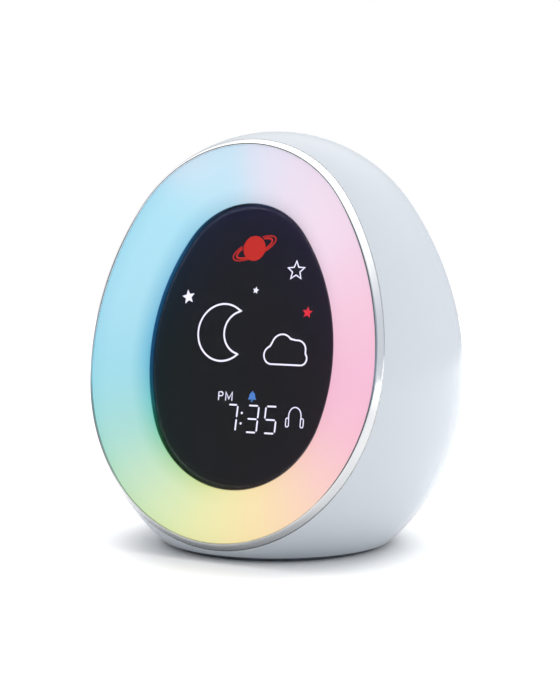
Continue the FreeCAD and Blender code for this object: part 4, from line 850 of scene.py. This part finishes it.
s = Shade("circuit_green")
brick = s.node("TexBrick", in_Scale=260.0, in_Color1=(0.010, 0.085, 0.035, 1), in_Color2=(0.014, 0.10, 0.042, 1), in_Mortar=(0.02, 0.15, 0.07, 1))
brick.inputs["Mortar Size"].default_value = 0.03
s.link(s.co.outputs["Object"], brick.inputs["Vector"])
pads = s.node("TexVoronoi", in_Scale=420.0)
s.link(s.co.outputs["Object"], pads.inputs["Vector"])
s.to(s.mixed(s.maths("LESS_THAN", pads.outputs["Distance"], 0.16), brick.outputs["Color"], (0.72, 0.62, 0.38)), "Base Color")
s.to(s.ranged(s.noise(900.0, 3.0), 0.28, 0.42), "Roughness")
pcb = s.mat

s = Shade("lamp_epoxy")
s.to(s.mixed(s.ranged(s.noise(900.0, 2.0), 0, 1), (0.80, 0.76, 0.52), (0.92, 0.90, 0.80)), "Base Color")
s.set(Roughness=0.2, Subsurface_Weight=0.2)
lamp = s.mat

s = Shade("grille_cloth")
wa = s.node("TexWave", wave_type="BANDS", bands_direction="X", in_Scale=420.0)
wb = s.node("TexWave", wave_type="BANDS", bands_direction="Z", in_Scale=420.0)
s.link(s.co.outputs["Object"], wa.inputs["Vector"])
s.link(s.co.outputs["Object"], wb.inputs["Vector"])
weave = s.maths("MULTIPLY", wa.outputs["Fac"], wb.outputs["Fac"])
s.to(s.mixed(weave, (0.012, 0.012, 0.014), (0.06, 0.06, 0.065)), "Base Color")
s.to(s.bump(weave, 0.0001), "Normal")
s.set(Roughness=0.9, Sheen_Weight=0.3)
cloth = s.mat

USE = {
    "rear_shell": casing, "icon_film": film, "icon_mask": dark, "display_board": pcb, "display_leds": lamp, "front_frame": white,
    "ring_led_board": pcb, "ring_leds": lamp, "dust_cloth": cloth, "speaker_gasket": foam, "speaker_basket": steel,
    "speaker_magnet": ferrite, "speaker_yoke": steel, "speaker_surround": foam, "speaker_cone": cone, "voice_coil": copper,
    "control_panel": panel, "button_time": button, "button_alarm": button, "button_light": button, "button_volume_down": button,
    "button_play": button, "button_volume_up": button, "key_board": pcb, "tact_switches": chip, "port_panel": panel,
    "usb_socket": socket, "usb_tongue": dark, "aux_socket": dark, "power_switch_body": shield, "power_switch_knob": dark,
    "main_board": pcb, "board_chips": chip, "radio_module": shield, "base_plate": white, "base_pad": rubber, "battery_pack": wrap,
    "battery_cradle": dark, "display_ribbon": flat, "key_ribbon": flat, "speaker_leads": lead, "battery_leads": lead,
    "case_screws": steel, "board_screws": steel, "speaker_screws": steel, "base_screws": steel,
}
for n, m in USE.items():
    o = NODES[n]
    for slot in o.material_slots:
        slot.material = m

# ------------------------------------------------------------------ floor and light

bm = bmesh.new()
S = 6.0
cells = 12
verts = {}
for i in range(cells + 1):
    for j in range(cells + 1):
        verts[i, j] = bm.verts.new((-S + 2 * S * i / cells, -S + 2 * S * j / cells, 0.0))
for i in range(cells):
    for j in range(cells):
        bm.faces.new((verts[i, j], verts[i + 1, j], verts[i + 1, j + 1], verts[i, j + 1]))
me = bpy.data.meshes.new("floor")
bm.to_mesh(me)
bm.free()
floor = bpy.data.objects.new("floor", me)
scene.collection.objects.link(floor)
s = Shade("floor_pale")
s.to(s.mixed(s.ranged(s.noise(3.0, 2.0), 0, 1), (0.85, 0.85, 0.852), (0.865, 0.865, 0.865)), "Base Color")
# painted light: the floor glows barely (0.012) within about 47 mm of a point a few millimetres off the centre, which
# paints a contact shadow round the foot, and glows more further out: about 0.37 by 125 mm, rising again beyond 0.4 m;
# the patch is an oval turned 28.4 degrees
moved = s.node("Mapping", vector_type="TEXTURE")
moved.inputs["Location"].default_value = (-0.0035, -0.0040, 0.0)
moved.inputs["Rotation"].default_value = (0.0, 0.0, math.radians(28.4))
moved.inputs["Scale"].default_value = (1.0, 1.25, 1.0)
s.link(s.co.outputs["Object"], moved.inputs["Vector"])
far = s.node("VectorMath", operation="LENGTH")
s.link(moved.outputs[0], far.inputs[0])
near = s.node("MapRange", interpolation_type="SMOOTHSTEP")
for k, x in (("From Min", 0.047), ("From Max", 0.068), ("To Min", 0.0), ("To Max", 0.23)):
    near.inputs[k].default_value = x
s.link(far.outputs["Value"], near.inputs["Value"])
floor_painted_light = s.maths("ADD", near.outputs["Result"], s.ranged(far.outputs["Value"], 0.012, 0.14, 0.066, 0.125))
floor_painted_light = s.maths("ADD", floor_painted_light, s.ranged(far.outputs["Value"], 0.0, 0.34, 0.4, 1.4))
s.to(s.mixed(floor_painted_light, (0.0, 0.0, 0.0), (1.0, 1.0, 1.0)), "Emission Color")
s.set(Roughness=0.55, Emission_Strength=1.0, Specular_IOR_Level=0.2)
me.materials.append(s.mat)

world = bpy.data.worlds.new("studio")
scene.world = world
world.use_nodes = True
wt = world.node_tree
bg = wt.nodes["Background"]
co = wt.nodes.new("ShaderNodeTexCoord")
sep = wt.nodes.new("ShaderNodeSeparateXYZ")
wt.links.new(co.outputs["Generated"], sep.inputs[0])


def wmath(op, a, b=None, clamp=False):
    m = wt.nodes.new("ShaderNodeMath")
    m.operation, m.use_clamp = op, clamp
    for i, x in enumerate((a, b)):
        if x is None:
            continue
        if isinstance(x, (int, float)):
            m.inputs[i].default_value = x
        else:
            wt.links.new(x, m.inputs[i])
    return m.outputs[0]


def wsmooth(value, a, b):
    r = wt.nodes.new("ShaderNodeMapRange")
    r.interpolation_type = "SMOOTHSTEP"
    r.inputs["From Min"].default_value, r.inputs["From Max"].default_value = a, b
    wt.links.new(value, r.inputs["Value"])
    return r.outputs["Result"]


def wmix(fac, a, b):
    m = wt.nodes.new("ShaderNodeMix")
    m.data_type = "RGBA"
    if isinstance(fac, (int, float)):
        m.inputs[0].default_value = fac
    else:
        wt.links.new(fac, m.inputs[0])
    for s_, x in ((m.inputs[6], a), (m.inputs[7], b)):
        if isinstance(x, (tuple, list)):
            s_.default_value = (*x[:3], 1.0)
        else:
            wt.links.new(x, s_)
    return m.outputs[2]


X, Y, Z = sep.outputs
up = wsmooth(Z, 0.20, 0.88)
rear = wsmooth(Y, -0.35, 0.55)
right = wsmooth(X, 0.55, 0.97)
left = wsmooth(wmath("MULTIPLY", X, -1.0), 0.35, 0.9)
low = wmix(rear, (0.22, 0.265, 0.34), (0.62, 0.65, 0.69))
low = wmix(right, low, (0.64, 0.67, 0.72))
low = wmix(left, low, (0.80, 0.81, 0.82))
sky = wmix(wsmooth(Z, 0.35, 0.95), wmix(up, low, (1.04, 1.04, 1.03)), (1.55, 1.55, 1.54))
soft_sky = wmix(up, wmix(0.22, low, (0.10, 0.12, 0.15)), (1.16, 1.155, 1.14))   # what matt surfaces gather
toward = wmath("ADD", wmath("ADD", wmath("MULTIPLY", X, -0.475), wmath("MULTIPLY", Y, -0.852)), wmath("MULTIPLY", Z, 0.222))
sky = wmix(wsmooth(toward, 0.93, 0.985), sky, (0.10, 0.11, 0.115))   # a dark doorway opposite the window
path = wt.nodes.new("ShaderNodeLightPath")
seen = wmix(path.outputs["Is Diffuse Ray"], sky, soft_sky)
seen = wmix(path.outputs["Is Camera Ray"], seen, (1.0, 1.0, 1.0))
wt.links.new(seen, bg.inputs["Color"])
bg.inputs["Strength"].default_value = 1.0


def area(name, at, to, size, power, rgb=(1, 1, 1), size_y=None):
    data = bpy.data.lights.new(name, "AREA")
    data.shape, data.size, data.size_y = "RECTANGLE", size, size_y or size
    data.energy, data.color = power, rgb
    o = bpy.data.objects.new(name, data)
    o.location = at
    o.rotation_euler = (Vector(to) - Vector(at)).to_track_quat("-Z", "Y").to_euler()
    o.visible_camera = False
    o.visible_glossy = False
    scene.collection.objects.link(o)
    return o


area("overhead", (0.15, 0.30, 1.20), (0, 0, 0.05), 1.4, 7.6, (1.0, 1.0, 1.0))
area("left", (-0.90, 0.30, 0.85), (0, 0, 0.05), 0.8, 2.6, (1.0, 1.0, 1.0))
area("right", (0.95, 0.12, 0.42), (0, 0, 0.03), 0.7, 2.3, (1.0, 1.0, 1.0))

scene.view_settings.view_transform = "Standard"
scene.view_settings.look = "None"
scene.view_settings.exposure = 0.0
scene.view_settings.gamma = 1.0

bpy.context.view_layer.update()
